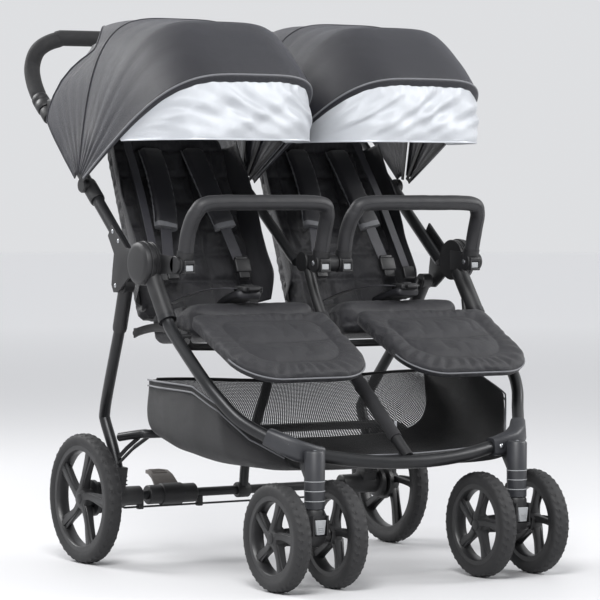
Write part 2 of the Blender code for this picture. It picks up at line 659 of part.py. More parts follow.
# ---------------------------------------------------------------------- basket
def basket():
    """Open fabric tub between front legs, crossbar and rear tube, low lip in front, high sides."""
    def ring(y, half, low, high):
        return [(-half, y, high), (-half * 0.985, y, low + 0.35 * (high - low)), (-half * 0.93, y, low + 0.010),
                (-half * 0.5, y, low), (half * 0.5, y, low), (half * 0.93, y, low + 0.010),
                (half * 0.985, y, low + 0.35 * (high - low)), (half, y, high)]
    floor = [ring(-0.342, 0.245, 0.2145, 0.246), ring(-0.285, 0.290, 0.209, 0.278), ring(-0.235, 0.318, 0.209, 0.330),
             ring(-0.150, 0.330, 0.212, 0.362), ring(-0.040, 0.330, 0.222, 0.366), ring(0.034, 0.322, 0.240, 0.366)]
    bm = bmesh.new()
    rows = [[bm.verts.new(p) for p in row] for row in floor]
    for a, b in zip(rows, rows[1:]):
        for i in range(len(a) - 1):
            bm.faces.new((a[i], a[i + 1], b[i + 1], b[i]))
    back_top = [bm.verts.new((x, 0.038, 0.366)) for x in (-0.28, -0.16, 0.16, 0.28)]
    last = rows[-1]
    bm.faces.new((last[0], last[1], last[2], back_top[0]))
    bm.faces.new((last[2], last[3], back_top[1], back_top[0]))
    bm.faces.new((last[3], last[4], back_top[2], back_top[1]))
    bm.faces.new((last[4], last[5], back_top[3], back_top[2]))
    bm.faces.new((last[5], last[6], last[7], back_top[3]))
    front_top = [bm.verts.new(p) for p in ((-0.13, -0.352, 0.250), (0, -0.345, 0.234), (0.13, -0.352, 0.250))]
    first = rows[0]
    bm.faces.new((first[0], first[1], first[2], first[3], front_top[0]))
    bm.faces.new((first[3], first[4], front_top[2], front_top[1], front_top[0]))
    bm.faces.new((first[4], first[5], first[6], first[7], front_top[2]))
    bmesh.ops.triangulate(bm, faces=bm.faces)
    mesh = mesh_from(bm)
    work = bpy.data.objects.new("tub", mesh)
    bpy.context.scene.collection.objects.link(work)
    wall = work.modifiers.new("wall", "SOLIDIFY")
    wall.thickness = 0.003
    wall.offset = 0
    piece("basket", baked(work), "basket_fabric")


front_legs()
front_crossbar()
caster_housings()
centre_front_frame()
hinge_bases()
front_wheels()
caster_forks()
swivel_locks()
rear_legs()
rear_centre()
rear_wheels()
brake_pedal()
fold_links()
hinge_caps()
upper_tubes()
push_handle()
seats()
leg_rests()
bumper_bars()
canopies()
visors()
basket()
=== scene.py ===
"""Double stroller, its looks: tubes, wheels, padded seats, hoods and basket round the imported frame.

Metres, +Z up. Front is -Y, +X is the riders' left. Pairs are made on the left and mirrored.
"""

import math

import bmesh
import bpy
from mathutils import Matrix, Vector, kdtree, noise


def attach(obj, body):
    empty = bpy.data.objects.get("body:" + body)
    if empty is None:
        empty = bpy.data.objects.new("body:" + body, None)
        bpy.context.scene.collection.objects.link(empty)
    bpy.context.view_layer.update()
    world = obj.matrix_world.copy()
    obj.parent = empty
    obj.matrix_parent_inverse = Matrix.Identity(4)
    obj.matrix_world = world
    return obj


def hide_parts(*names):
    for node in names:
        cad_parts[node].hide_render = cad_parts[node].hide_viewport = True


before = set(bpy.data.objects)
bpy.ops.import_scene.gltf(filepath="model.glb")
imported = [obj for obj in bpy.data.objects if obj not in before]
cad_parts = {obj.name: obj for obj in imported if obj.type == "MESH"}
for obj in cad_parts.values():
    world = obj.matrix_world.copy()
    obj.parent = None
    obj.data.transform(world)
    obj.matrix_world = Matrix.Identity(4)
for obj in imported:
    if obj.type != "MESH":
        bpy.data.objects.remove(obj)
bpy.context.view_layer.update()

# ------------------------------------------------------------------------------ studio
# A pale floor under a pale, even sky, with a big soft lamp high on each side. The floor is painted darker
# near the stroller and lighter far off, a painted falloff of light that fades it into the sky. The camera
# stands at child height, in front of the stroller and on its right-hand side.
scene = bpy.context.scene

CAMERA_SPOT = (-3.2068, -5.1066, 0.6972)
CAMERA_TURN = math.radians(-32.13)
CAMERA_RISE = math.radians(1.745)

lens = bpy.data.cameras.new("camera")
lens.lens = 185.7
camera = bpy.data.objects.new("camera", lens)
scene.collection.objects.link(camera)
camera.location = CAMERA_SPOT
backwards = Vector((math.sin(CAMERA_TURN) * math.cos(CAMERA_RISE),
                    -math.cos(CAMERA_TURN) * math.cos(CAMERA_RISE), math.sin(CAMERA_RISE)))
camera.rotation_euler = backwards.to_track_quat("Z", "Y").to_euler()
scene.camera = camera

sky = bpy.data.worlds.new("pale sky")
sky.use_nodes = True
sky.node_tree.nodes["Background"].inputs["Color"].default_value = (0.86, 0.87, 0.89, 1)
sky.node_tree.nodes["Background"].inputs["Strength"].default_value = 0.85
scene.world = sky
scene.view_settings.view_transform = "Standard"


def lamp(name, spot, target, size, power):
    light = bpy.data.lights.new(name, "AREA")
    light.shape = "DISK"
    light.size = size
    light.energy = power
    made = bpy.data.objects.new(name, light)
    made.location = spot
    made.rotation_euler = (Vector(spot) - Vector(target)).to_track_quat("Z", "Y").to_euler()
    scene.collection.objects.link(made)


lamp("key lamp", (-1.9, -2.6, 3.0), (0, 0, 0.6), 1.6, 150)
lamp("side lamp", (2.8, -1.4, 2.0), (0, 0, 0.6), 1.4, 60)
lamp("back lamp", (-1.4, 2.6, 2.6), (0, 0, 0.7), 1.6, 90)


def node(material, kind, inputs=(), **settings):
    """Adds a shader node; each input is a value or another node's output."""
    made = material.node_tree.nodes.new("ShaderNode" + kind)
    for key, value in settings.items():
        setattr(made, key, value)
    for socket, value in dict(inputs).items():
        if isinstance(value, bpy.types.NodeSocket):
            material.node_tree.links.new(value, made.inputs[socket])
        else:
            made.inputs[socket].default_value = value
    return made


def finish_of(name, colour, roughness, metallic=0.0, **values):
    """A material whose even values sit on the Principled shader itself."""
    material = bpy.data.materials.new(name)
    material.use_nodes = True
    shader = material.node_tree.nodes["Principled BSDF"]
    shader.inputs["Base Color"].default_value = (*colour, 1)
    shader.inputs["Roughness"].default_value = roughness
    shader.inputs["Metallic"].default_value = metallic
    for key, value in values.items():
        shader.inputs[key.replace("_", " ").title()].default_value = value
    return material


def connect(material, output, socket):
    shader = material.node_tree.nodes["Principled BSDF"]
    material.node_tree.links.new(output, shader.inputs[socket])


def mottle(material, colour, scale, spread=0.25, roughness=None, place=None):
    """Uneven colour, and uneven gloss if a (low, high) roughness is given."""
    at = place or node(material, "TexCoord").outputs["Object"]
    cloud = node(material, "TexNoise", {"Vector": at, "Scale": scale, "Detail": 6.0, "Roughness": 0.6})
    tones = node(material, "ValToRGB", {"Fac": cloud.outputs["Fac"]})
    tones.color_ramp.elements[0].position = 0.3
    tones.color_ramp.elements[1].position = 0.72
    for element, share in zip(tones.color_ramp.elements, (1 - spread, 1 + spread)):
        element.color = (*[c * share for c in colour], 1)
    connect(material, tones.outputs["Color"], "Base Color")
    if roughness:
        gloss = node(material, "MapRange", {"Value": cloud.outputs["Fac"], "From Min": 0.3, "From Max": 0.7,
                                            "To Min": roughness[0], "To Max": roughness[1]})
        connect(material, gloss.outputs["Result"], "Roughness")


def relief(material, height, depth, strength=1.0):
    """Bump from a height, depth in metres."""
    bump = node(material, "Bump", {"Height": height, "Strength": strength, "Distance": depth})
    connect(material, bump.outputs["Normal"], "Normal")


def grain(material, scale, depth, place=None):
    at = place or node(material, "TexCoord").outputs["Object"]
    specks = node(material, "TexNoise", {"Vector": at, "Scale": scale, "Detail": 3.0, "Roughness": 0.55})
    relief(material, specks.outputs["Fac"], depth)


floor_with_painted_falloff = finish_of("pale floor", (0.66, 0.66, 0.67), 0.6)
# Painted light: the floor's colour goes from darker within a metre of the stroller to near white 12 m away, so that it
# fades into the sky.
at = node(floor_with_painted_falloff, "TexCoord").outputs["Object"]
away = node(floor_with_painted_falloff, "VectorMath", {0: at}, operation="LENGTH").outputs["Value"]
share = node(floor_with_painted_falloff, "MapRange", {"Value": away, "From Min": 1.0, "From Max": 12.0}).outputs["Result"]
tones = node(floor_with_painted_falloff, "ValToRGB", {"Fac": share})
tones.color_ramp.elements[0].color = (0.62, 0.62, 0.63, 1)
tones.color_ramp.elements[1].color = (0.96, 0.96, 0.97, 1)
connect(floor_with_painted_falloff, tones.outputs["Color"], "Base Color")
bm = bmesh.new()
bmesh.ops.create_circle(bm, cap_ends=True, segments=96, radius=40)
floor_mesh = bpy.data.meshes.new("floor")
bm.to_mesh(floor_mesh)
bm.free()
floor_mesh.materials.append(floor_with_painted_falloff)
floor = bpy.data.objects.new("floor", floor_mesh)
scene.collection.objects.link(floor)

# -------------------------------------------------------------------------- lower tubes
# Two side tubes sweep down from the hinges to the casters, and a bowed crossbar joins
# them. All are round aluminium tube with a satin charcoal coat.
FLIP = Matrix.Scale(-1, 4, (1, 0, 0))
SIDE_X = 0.352
TUBE_R = 0.0115

tube_finish = finish_of("satin charcoal coat", (0.013, 0.0135, 0.015), 0.36, 0.45, coat_weight=0.15,
                        coat_roughness=0.35)
mottle(tube_finish, (0.013, 0.0135, 0.015), 14, 0.18, (0.32, 0.44))
grain(tube_finish, 1400, 0.00008)


def smooth(points, steps=8):
    """Points along a soft curve through the given ones."""
    p = [Vector(q) for q in points]
    p = [2 * p[0] - p[1], *p, 2 * p[-1] - p[-2]]
    path = []
    for a, b, c, d in zip(p, p[1:], p[2:], p[3:]):
        for i in range(steps):
            t = i / steps
            path.append(0.5 * (2 * b + (c - a) * t + (2 * a - 5 * b + 4 * c - d) * t**2
                               + (3 * b - a - 3 * c + d) * t**3))
    return [*path, p[-2]]


def places(points, up=None):
    """A frame at each point of a path: Z runs along it, and Y leans towards up."""
    points = [Vector(p) for p in points]
    ways = [(b - a).normalized() for a, b in zip(points, points[1:])]
    ways = [ways[0], *[(a + b).normalized() for a, b in zip(ways, ways[1:])], ways[-1]]
    side = ways[0].orthogonal()
    frames = []
    for point, way in zip(points, ways):
        side = Vector(up).cross(way) if up else side - side.project(way)
        side.normalize()
        turn = Matrix((side, way.cross(side), way)).transposed().to_4x4()
        frames.append(Matrix.Translation(point) @ turn)
    return frames


def ring(radius, sides=24, squash=1.0):
    turns = [2 * math.pi * k / sides for k in range(sides)]
    return [(radius * math.cos(t), squash * radius * math.sin(t)) for t in turns]


def slab(width, height, corner, steps=3):
    """A rectangle outline with rounded corners."""
    outline = []
    for k, (sx, sy) in enumerate(((1, 1), (-1, 1), (-1, -1), (1, -1))):
        for i in range(steps + 1):
            turn = math.pi / 2 * (k + i / steps)
            outline.append((sx * (width / 2 - corner) + corner * math.cos(turn),
                            sy * (height / 2 - corner) + corner * math.sin(turn)))
    return outline


def loop_edges(grown):
    fresh = {g for g in grown if isinstance(g, bmesh.types.BMVert)}
    return list(fresh), [g for g in grown if isinstance(g, bmesh.types.BMEdge) and fresh.issuperset(g.verts)]


def swept(points, outline, sizes=None, up=None, bm=None):
    """Carries an outline along a path by extruding its loop of edges from place to place."""
    frames = places(points, up)
    sizes = sizes or [1] * len(frames)
    bm = bm or bmesh.new()
    loop = [bm.verts.new(frames[0] @ Vector((x * sizes[0], y * sizes[0], 0))) for x, y in outline]
    bm.faces.new(loop)
    edges = [bm.edges.get((a, b)) for a, b in zip(loop, loop[1:] + loop[:1])]
    for i in range(1, len(frames)):
        verts, edges = loop_edges(bmesh.ops.extrude_edge_only(bm, edges=edges)["geom"])
        step = frames[i] @ Matrix.Scale(sizes[i] / sizes[i - 1], 4) @ frames[i - 1].inverted()
        bmesh.ops.transform(bm, matrix=step, verts=verts)
    bmesh.ops.edgeloop_fill(bm, edges=edges)
    return bm


def piece(name, bm, finish, body, nodes=(), crease=38):
    """Makes the finished object, sets its body, and hides the CAD nodes it stands for."""
    bmesh.ops.remove_doubles(bm, verts=bm.verts, dist=1e-6)
    bmesh.ops.recalc_face_normals(bm, faces=bm.faces)
    mesh = bpy.data.meshes.new(name)
    bm.to_mesh(mesh)
    bm.free()
    mesh.materials.append(finish)
    mesh.shade_smooth()
    mesh.set_sharp_from_angle(angle=math.radians(crease))
    made = bpy.data.objects.new(name, mesh)
    scene.collection.objects.link(made)
    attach(made, body)
    if nodes:
        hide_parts(*nodes)
    return made


def pair(name, bm, finish, body, nodes=(), crease=38):
    """The left piece and its mirror image; {} in a body or node stands for the side."""
    other = bm.copy()
    bmesh.ops.transform(other, matrix=FLIP, verts=other.verts)
    made = []
    for side, shape in (("left", bm), ("right", other)):
        stands_for = [n.format(side) for n in nodes]
        made.append(piece(f"{name}_{side}", shape, finish, body.format(side), stands_for, crease))
    return made


leg_route = smooth([
    (SIDE_X, -0.095, 0.486), (SIDE_X, -0.119, 0.460), (0.348, -0.214, 0.385), (0.336, -0.256, 0.346),
    (0.313, -0.290, 0.308), (0.284, -0.332, 0.281), (0.258, -0.3665, 0.2635),
])
pair("side_tube", swept(leg_route, ring(TUBE_R)), tube_finish, "root", ["front_leg_{}"])


def crossbar_point(x):
    bow = 1 - (x / 0.2) ** 2
    return Vector((x, -0.370 - 0.024 * bow, 0.245 - 0.020 * bow))


bar_route = [crossbar_point(-0.215 + 0.43 * i / 40) for i in range(41)]
piece("crossbar", swept(bar_route, ring(0.0125)), tube_finish, "root", ["front_crossbar"])

# ------------------------------------------------------------------- caster brackets
# At each front corner a moulded bracket clamps side tube and crossbar and carries the
# round caster post. It is riveted on both sides, and three pale rings mark the post.
CASTER = Vector((0.225, -0.408, 0))
bracket_finish = finish_of("bracket plastic", (0.022, 0.023, 0.027), 0.42)
mottle(bracket_finish, (0.022, 0.023, 0.027), 40, 0.15, (0.36, 0.5))
grain(bracket_finish, 1800, 0.00010)
pale_finish = finish_of("pale plastic", (0.30, 0.31, 0.32), 0.42)
mottle(pale_finish, (0.30, 0.31, 0.32), 60, 0.08, (0.36, 0.5))
grain(pale_finish, 2200, 0.00006)
rivet_finish = finish_of("zinc rivet", (0.42, 0.43, 0.45), 0.3, 1.0)
mottle(rivet_finish, (0.42, 0.43, 0.45), 300, 0.15, (0.22, 0.42))


def turned(profile, centre, axis=(1, 0, 0), steps=48, closed=False, bm=None):
    """Spins a line of (along, out) points round an axis through centre."""
    spun = bmesh.new()
    verts = [spun.verts.new((along, 0, out)) for along, out in profile]
    ends = zip(verts, verts[1:] + verts[:1]) if closed else zip(verts, verts[1:])
    edges = [spun.edges.new(e) for e in ends]
    bmesh.ops.spin(spun, geom=verts + edges, cent=(0, 0, 0), axis=(1, 0, 0), angle=2 * math.pi,
                   steps=steps, use_merge=True)
    bmesh.ops.remove_doubles(spun, verts=spun.verts, dist=1e-6)
    turn = Vector((1, 0, 0)).rotation_difference(Vector(axis)).to_matrix().to_4x4()
    bmesh.ops.transform(spun, matrix=Matrix.Translation(centre) @ turn, verts=spun.verts)
    return joined(bm, spun)


def joined(bm, other):
    """Adds one bmesh to another, or hands the second back when there is no first."""
    if bm is None:
        return other
    mesh = bpy.data.meshes.new("joined")
    other.to_mesh(mesh)
    other.free()
    bm.from_mesh(mesh)
    bpy.data.meshes.remove(mesh)
    return bm


def block(low, high, edge, segments=3, bm=None):
    """A box with rounded edges."""
    made = bmesh.new()
    bmesh.ops.create_cube(made, size=1)
    low, high = Vector(low), Vector(high)
    bmesh.ops.scale(made, vec=high - low, verts=made.verts)
    bmesh.ops.translate(made, vec=(low + high) / 2, verts=made.verts)
    bmesh.ops.bevel(made, geom=made.edges[:], offset=edge, offset_type="OFFSET", segments=segments,
                    profile=0.5, affect="EDGES", material=-1)
    return joined(bm, made)


def plate(outline, low, high, edge, segments=2, bm=None):
    """A plate from x = low to x = high with this (y, z) outline and rounded edges."""
    made = bmesh.new()
    face = made.faces.new([made.verts.new((low, y, z)) for y, z in outline])
    grown = bmesh.ops.extrude_face_region(made, geom=[face])["geom"]
    moved = [g for g in grown if isinstance(g, bmesh.types.BMVert)]
    bmesh.ops.translate(made, verts=moved, vec=(high - low, 0, 0))
    bmesh.ops.recalc_face_normals(made, faces=made.faces)
    rim = [e for e in made.edges if abs(e.verts[0].co.x - e.verts[1].co.x) < 1e-6]
    bmesh.ops.bevel(made, geom=rim, offset=edge, offset_type="OFFSET", segments=segments, profile=0.5,
                    affect="EDGES", material=-1)
    return joined(bm, made)


def rivet(spot, axis, radius=0.0042, bm=None):
    head = [(-0.004, 0), (-0.004, radius), (0.0004, radius), (0.0016, radius * 0.72), (0.0021, 0)]
    return turned(head, spot, axis, 20, bm=bm)


bm = turned([(0.150, 0), (0.150, 0.0165), (0.1515, 0.0186), (0.252, 0.0192), (0.2552, 0.0170), (0.2562, 0)],
            (CASTER.x, CASTER.y, 0), (0, 0, 1), 48)
bm = swept([(0.280, -0.336, 0.2790), (0.262, -0.360, 0.2665), (0.240, -0.3745, 0.2540),
            (0.205, -0.3735, 0.2450), (0.190, -0.3730, 0.2435)],
           slab(0.031, 0.035, 0.008), [0.92, 1.05, 1.12, 1.02, 0.95], (0, 0, 1), bm)
bm = plate([(-0.410, 0.2500), (-0.372, 0.2600), (-0.360, 0.2480), (-0.366, 0.2250), (-0.392, 0.1900),
            (-0.400, 0.1800), (-0.408, 0.1800)], CASTER.x - 0.006, CASTER.x + 0.006, 0.0015, bm=bm)
pair("caster_bracket", bm, bracket_finish, "root", ["caster_housing_{}"])
bm = None
for z in (0.1655, 0.1835, 0.2010):
    bm = turned([(z - 0.0009, 0.0185), (z - 0.0006, 0.0194), (z + 0.0006, 0.0194), (z + 0.0009, 0.0185)],
                (CASTER.x, CASTER.y, 0), (0, 0, 1), 48, True, bm)
pair("post_rings", bm, pale_finish, "root")
bm = None
for spot, axis in (((0.2635, -0.3765, 0.2665), (0.75, -0.66, 0.1)), ((0.2030, -0.3905, 0.2460), (0, -1, 0.1)),
                   ((0.225, -0.408, 0.2555), (0, 0, 1))):
    bm = rivet(spot, axis, bm=bm)
pair("bracket_rivets", bm, rivet_finish, "root")

# -------------------------------------------------------------------- middle tube
# A tube from the crossbar up between the seats, in a zipped fabric sleeve with pale
# piping down one edge, and the thin bar that holds the front edge of both seats.
sleeve_finish = finish_of("sleeve fabric", (0.012, 0.012, 0.014), 0.85, sheen_weight=0.05)
mottle(sleeve_finish, (0.012, 0.012, 0.014), 50, 0.2)
grain(sleeve_finish, 1500, 0.0002)
piping_finish = finish_of("grey piping", (0.115, 0.118, 0.128), 0.55, sheen_weight=0.2)
mottle(piping_finish, (0.115, 0.118, 0.128), 120, 0.1)
grain(piping_finish, 2500, 0.0001)
plastic_finish = finish_of("black moulded plastic", (0.009, 0.009, 0.010), 0.45)
mottle(plastic_finish, (0.009, 0.009, 0.010), 30, 0.2, (0.4, 0.54))
grain(plastic_finish, 1600, 0.00012)

HINGE = Vector((0, -0.022, 0.589))
BAR_PIVOT = Vector((0, -0.1105, 0.587))
middle_route = smooth([crossbar_point(0) + Vector((0, 0.0165, 0.0080)), (0, -0.221, 0.355), (0, -0.130, 0.425),
                       (0, -0.070, 0.500), (0, -0.030, 0.576)], 12)
bm = swept(middle_route, ring(0.0105))
bm = swept([(0.332, -0.1325, 0.4450), (0.310, -0.112, 0.434), (0.25, -0.105, 0.432), (-0.25, -0.105, 0.432),
            (-0.310, -0.112, 0.434), (-0.332, -0.1325, 0.4450)], ring(0.0070, 16), bm=bm)
bm = turned([(-0.0115, 0), (-0.0115, 0.019), (-0.0095, 0.0205), (0.0095, 0.0205), (0.0115, 0.019), (0.0115, 0)],
            HINGE, bm=bm)
bm = plate([(-0.112, 0.575), (-0.022, 0.573), (-0.022, 0.603), (-0.112, 0.600)], -0.0082, 0.0082, 0.003, bm=bm)
bm = turned([(-0.0105, 0), (-0.0105, 0.0150), (-0.009, 0.0162), (0.009, 0.0162), (0.0105, 0.0150), (0.0105, 0)],
            BAR_PIVOT, bm=bm)
piece("middle_tube", bm, plastic_finish, "root", ["centre_front_frame"])


def creased(bm, depth, scale, seed=0.0, keep=None):
    """Moves every point along its normal by a soft noise, as cloth creases."""
    bm.normal_update()
    moves = {}
    for v in bm.verts:
        much = noise.noise(v.co * scale + Vector((seed, 2 * seed, 0)))
        much *= keep(v.co) if keep else 1
        moves[v] = v.normal * much * depth
    for v, move in moves.items():
        v.co += move
    return bm


sleeve_route = middle_route[3:-14]
sizes = [0.97 + 0.05 * math.sin(9 * i / len(sleeve_route)) for i in range(len(sleeve_route))]
bm = swept(sleeve_route, ring(0.0128, 32), sizes)
piece("tube_sleeve", creased(bm, 0.0016, 70), sleeve_finish, "root", crease=80)
frames = places(sleeve_route, (1, 0, 0))
bm = swept([f @ Vector((-0.0095, 0.0105, 0)) for f in frames], ring(0.0013, 10))
piece("sleeve_piping", bm, piping_finish, "root")
zip_foot = frames[2] @ Vector((0.004, 0.015, 0))
bm = block(zip_foot - Vector((0.003, 0.0015, 0.010)), zip_foot + Vector((0.003, 0.0015, 0.006)), 0.001)
piece("zip_pull", bm, rivet_finish, "root")

# --------------------------------------------------------------------- side hinges
# The lower half of each fold hinge: a ribbed disc, a moulded sleeve that grips the side
# tube, the arm with the bumper bar's socket, and the lug that the side link turns on.
bm = turned([(0.3425, 0), (0.3425, 0.0392), (0.3436, 0.0402), (0.3462, 0.0402), (0.3470, 0.0388), (0.3482, 0.0388),
             (0.3490, 0.0402), (0.3512, 0.0402), (0.3520, 0.0388), (0.3532, 0.0388), (0.3540, 0.0402),
             (0.3556, 0.0402), (0.3562, 0.0395), (0.3562, 0)], (0, HINGE.y, HINGE.z), steps=72)
bm = plate([(-0.106, 0.571), (-0.022, 0.568), (-0.022, 0.608), (-0.108, 0.603)], 0.3402, 0.3458, 0.0012, bm=bm)
bm = turned([(0.3400, 0), (0.3400, 0.0155), (0.3408, 0.0165), (0.3448, 0.0165), (0.3458, 0.0155), (0.3458, 0)],
            (0, BAR_PIVOT.y, BAR_PIVOT.z), bm=bm)
bm = swept([(0.341, -0.070, 0.512), (0.3335, -0.086, 0.480), (0.3335, -0.098, 0.456)], ring(0.0055, 16), bm=bm)
bm = turned([(0.3275, 0), (0.3275, 0.0095), (0.3287, 0.0110), (0.3378, 0.0110), (0.3390, 0.0095), (0.3390, 0)],
            (0, -0.100, 0.452), bm=bm)
bm = swept([(SIDE_X - 0.001, -0.040, 0.566), (SIDE_X, -0.055, 0.543), (SIDE_X, -0.0970, 0.4842)],
           ring(0.0165, 32), [0.98, 1.0, 1.0], bm=bm)
pair("hinge_lower_half", bm, plastic_finish, "root", ["hinge_base_{}"])
ring_route = [Vector((SIDE_X, -0.0925, 0.4905)), Vector((SIDE_X, -0.0985, 0.4822))]
pair("sleeve_ring", swept(ring_route, ring(0.0172, 32)), tube_finish, "root")

# -------------------------------------------------------------------------- wheels
# Moulded black wheels with five leaning hollow spokes, rubber tyres with a moulded tread,
# a five-sided hub on the small wheels and a round cap on the large ones.
FRONT_R = 0.099
FRONT_AXLE = Vector((0, -0.377, FRONT_R))
TWIN_HALF = 0.0605
REAR_R = 0.1265
REAR_AXLE = Vector((0, 0.219, REAR_R))
REAR_X = 0.357

rim_finish = finish_of("wheel plastic", (0.010, 0.010, 0.011), 0.36)
mottle(rim_finish, (0.014, 0.014, 0.015), 45, 0.15, (0.33, 0.46))
grain(rim_finish, 1500, 0.00010)
rubber_finish = finish_of("tyre rubber", (0.014, 0.014, 0.015), 0.68)
mottle(rubber_finish, (0.014, 0.014, 0.015), 60, 0.3, (0.58, 0.78))
grain(rubber_finish, 900, 0.0002)


def tyre(x, axle, radius, half=0.0168, bead=0.0228):
    """A rounded tyre whose shoulders carry short moulded notches, two rows a side."""
    profile = [(-half + 0.003, radius - bead), (-half + 0.0008, radius - 0.0175), (-half, radius - 0.0125)]
    for i in range(1, 12):
        turn = math.pi * i / 12
        profile.append((-(half - 0.0005) * math.cos(turn), radius - 0.0095 + 0.0095 * math.sin(turn)))
    profile += [(half, radius - 0.0125), (half - 0.0008, radius - 0.0175), (half - 0.003, radius - bead)]
    bm = turned(profile, (x, axle.y, axle.z), steps=120, closed=True)
    bm.faces.ensure_lookup_table()
    notches = []
    for face in bm.faces:
        middle = face.calc_center_median() - Vector((x, axle.y, axle.z))
        out = math.hypot(middle.y, middle.z)
        step = round(math.atan2(middle.z, middle.y) / (2 * math.pi / 120) - 0.5)
        lean = 1 if middle.x > 0 else 0
        shoulder = 0.0055 < abs(middle.x) < 0.0145 and out > radius - 0.007
        if shoulder and (step + lean + (1 if abs(middle.x) > 0.0105 else 0)) % 3 == 0:
            notches.append(face)
    bmesh.ops.inset_individual(bm, faces=notches, thickness=0.0009, depth=-0.0011, use_even_offset=True)
    return bm


def spoke(x, axle, turn, lean, low, high, wide, thick, bm):
    """One spoke: it leaves the hub leaning over, and flares out into the rim."""
    path, sizes = [], []
    for i in range(11):
        t = i / 10
        out = low + t * (high - low)
        angle = turn + lean * (t - 0.5 * t * t)
        path.append((x + 0.003 - 0.002 * t, axle.y + out * math.cos(angle), axle.z + out * math.sin(angle)))
        sizes.append(1.15 - 0.95 * t + 0.85 * t * t)
    return swept(path, slab(thick, wide, 0.0022, 2), sizes, (1, 0, 0), bm)


def rim(x, axle, radius, lean, hub_out, corners, lip=0.0225):
    """Channel ring, spokes with a raised rib, and the hub; drawn for a wheel whose face is +X."""
    low, high = radius - lip - 0.0125, radius - lip
    half = 0.0135
    profile = [(-half, high), (-half, low + 0.0035), (-half + 0.002, low + 0.002), (-0.004, low), (0.004, low),
               (half - 0.002, low + 0.002), (half, low + 0.0035), (half, high)]
    bm = turned(profile, (x, axle.y, axle.z), steps=96, closed=True)
    for k in range(5):
        turn = 2 * math.pi * k / 5 + math.pi / 2
        bm = spoke(x, axle, turn, lean, 0.012, low + 0.003, 0.019, 0.013, bm)
        bm = spoke(x + 0.0045, axle, turn + 0.11, lean, 0.016, low + 0.003, 0.0045, 0.009, bm)
        bm = spoke(x + 0.0045, axle, turn - 0.11, lean, 0.016, low + 0.003, 0.0045, 0.009, bm)
    sides = corners or 48
    hub = [(-0.0130, 0), (-0.0130, 0.0180), (-0.011, 0.0195), (hub_out * 0.55, 0.0215), (hub_out * 0.8, 0.0200),
           (hub_out, 0.0150), (hub_out, 0)]
    bm = turned(hub, (x, axle.y, axle.z), steps=sides, bm=bm)
    cap = [(hub_out - 0.002, 0), (hub_out - 0.002, 0.0105), (hub_out + 0.0012, 0.0100), (hub_out + 0.0026, 0.0070),
           (hub_out + 0.0032, 0)]
    return turned(cap, (x, axle.y, axle.z), steps=36, bm=bm)


for place, x, face, reach in (("outer", CASTER.x + TWIN_HALF, 1, 0.0145), ("inner", CASTER.x - TWIN_HALF, -1, 0.0125)):
    body = f"front_wheel_{place}_{{}}"
    bm = rim(0, FRONT_AXLE, FRONT_R, 0.55, reach, 5)
    if face < 0:
        bmesh.ops.transform(bm, matrix=FLIP, verts=bm.verts)
    bmesh.ops.translate(bm, verts=bm.verts, vec=(x, 0, 0))
    pair(f"small_rim_{place}", bm, rim_finish, body, [f"front_rim_{place}_{{}}"], 30)
    pair(f"small_tyre_{place}", tyre(x, FRONT_AXLE, FRONT_R), rubber_finish, body, [f"front_tyre_{place}_{{}}"],
         50)
bm = rim(REAR_X, REAR_AXLE, REAR_R, 0.62, 0.0140, 0)
bm = turned([(-0.021, 0.034), (-0.0195, 0.0355), (-0.012, 0.0355), (-0.012, 0.010), (-0.021, 0.010)],
            (REAR_X, REAR_AXLE.y, REAR_AXLE.z), closed=True, bm=bm)
pair("large_rim", bm, rim_finish, "rear_wheel_{}", ["rear_rim_{}"], 30)
pair("large_tyre", tyre(REAR_X, REAR_AXLE, REAR_R), rubber_finish, "rear_wheel_{}", ["rear_tyre_{}"], 50)

# ------------------------------------------------------------------------- casters
# Each pair of small wheels turns on one axle through a moulded fork, which swivels in
# the post above. A pale lever at its front locks the swivel.
bm = turned([(0.128, 0), (0.128, 0.0165), (0.1305, 0.0188), (0.1455, 0.0190), (0.1497, 0.0172), (0.1497, 0)],
            (CASTER.x, CASTER.y, 0), (0, 0, 1))
bm = plate([(-0.4265, 0.140), (-0.4265, 0.1345), (-0.4160, 0.1335), (-0.4155, 0.1035), (-0.4255, 0.1030),
            (-0.4180, 0.0900), (-0.4000, 0.0800), (-0.3620, 0.0790), (-0.3550, 0.1000), (-0.3600, 0.1180),
            (-0.3880, 0.1460)], CASTER.x - 0.0165, CASTER.x + 0.0165, 0.003, 3, bm)
reach = TWIN_HALF - 0.0138
bm = turned([(-reach, 0), (-reach, 0.0135), (-reach + 0.003, 0.0160), (-0.020, 0.0170), (-0.0185, 0.0195),
             (0.0185, 0.0195), (0.020, 0.0170), (reach - 0.003, 0.0160), (reach, 0.0135), (reach, 0)],
            (CASTER.x, FRONT_AXLE.y, FRONT_AXLE.z), bm=bm)
for sign in (-1, 1):
    bm = block((CASTER.x + sign * 0.0148 - 0.002, -0.4300, 0.1035), (CASTER.x + sign * 0.0148 + 0.002, -0.4120, 0.1400),
               0.0008, bm=bm)
pair("caster_yoke", bm, plastic_finish, "caster_{}", ["caster_fork_{}"])
bm = bmesh.new()
low, high = 0.1055, 0.1320
face = bm.faces.new([bm.verts.new((CASTER.x + x, -0.4230, z))
                     for x, z in ((-0.0080, low), (0.0080, low), (0.0115, high), (-0.0115, high))])
grown = bmesh.ops.extrude_face_region(bm, geom=[face])["geom"]
bmesh.ops.translate(bm, verts=[g for g in grown if isinstance(g, bmesh.types.BMVert)], vec=(0, -0.0065, 0))
bmesh.ops.bevel(bm, geom=bm.edges[:], offset=0.0010, offset_type="OFFSET", segments=3, profile=0.5, affect="EDGES",
                material=-1)
for z in (0.1110, 0.1145, 0.1180):
    bm = block((CASTER.x - 0.006, -0.4305, z), (CASTER.x + 0.006, -0.4290, z + 0.0014), 0.0005, 2, bm)
pair("swivel_lever", bm, pale_finish, "swivel_lock_{}", ["swivel_lock_{}"])

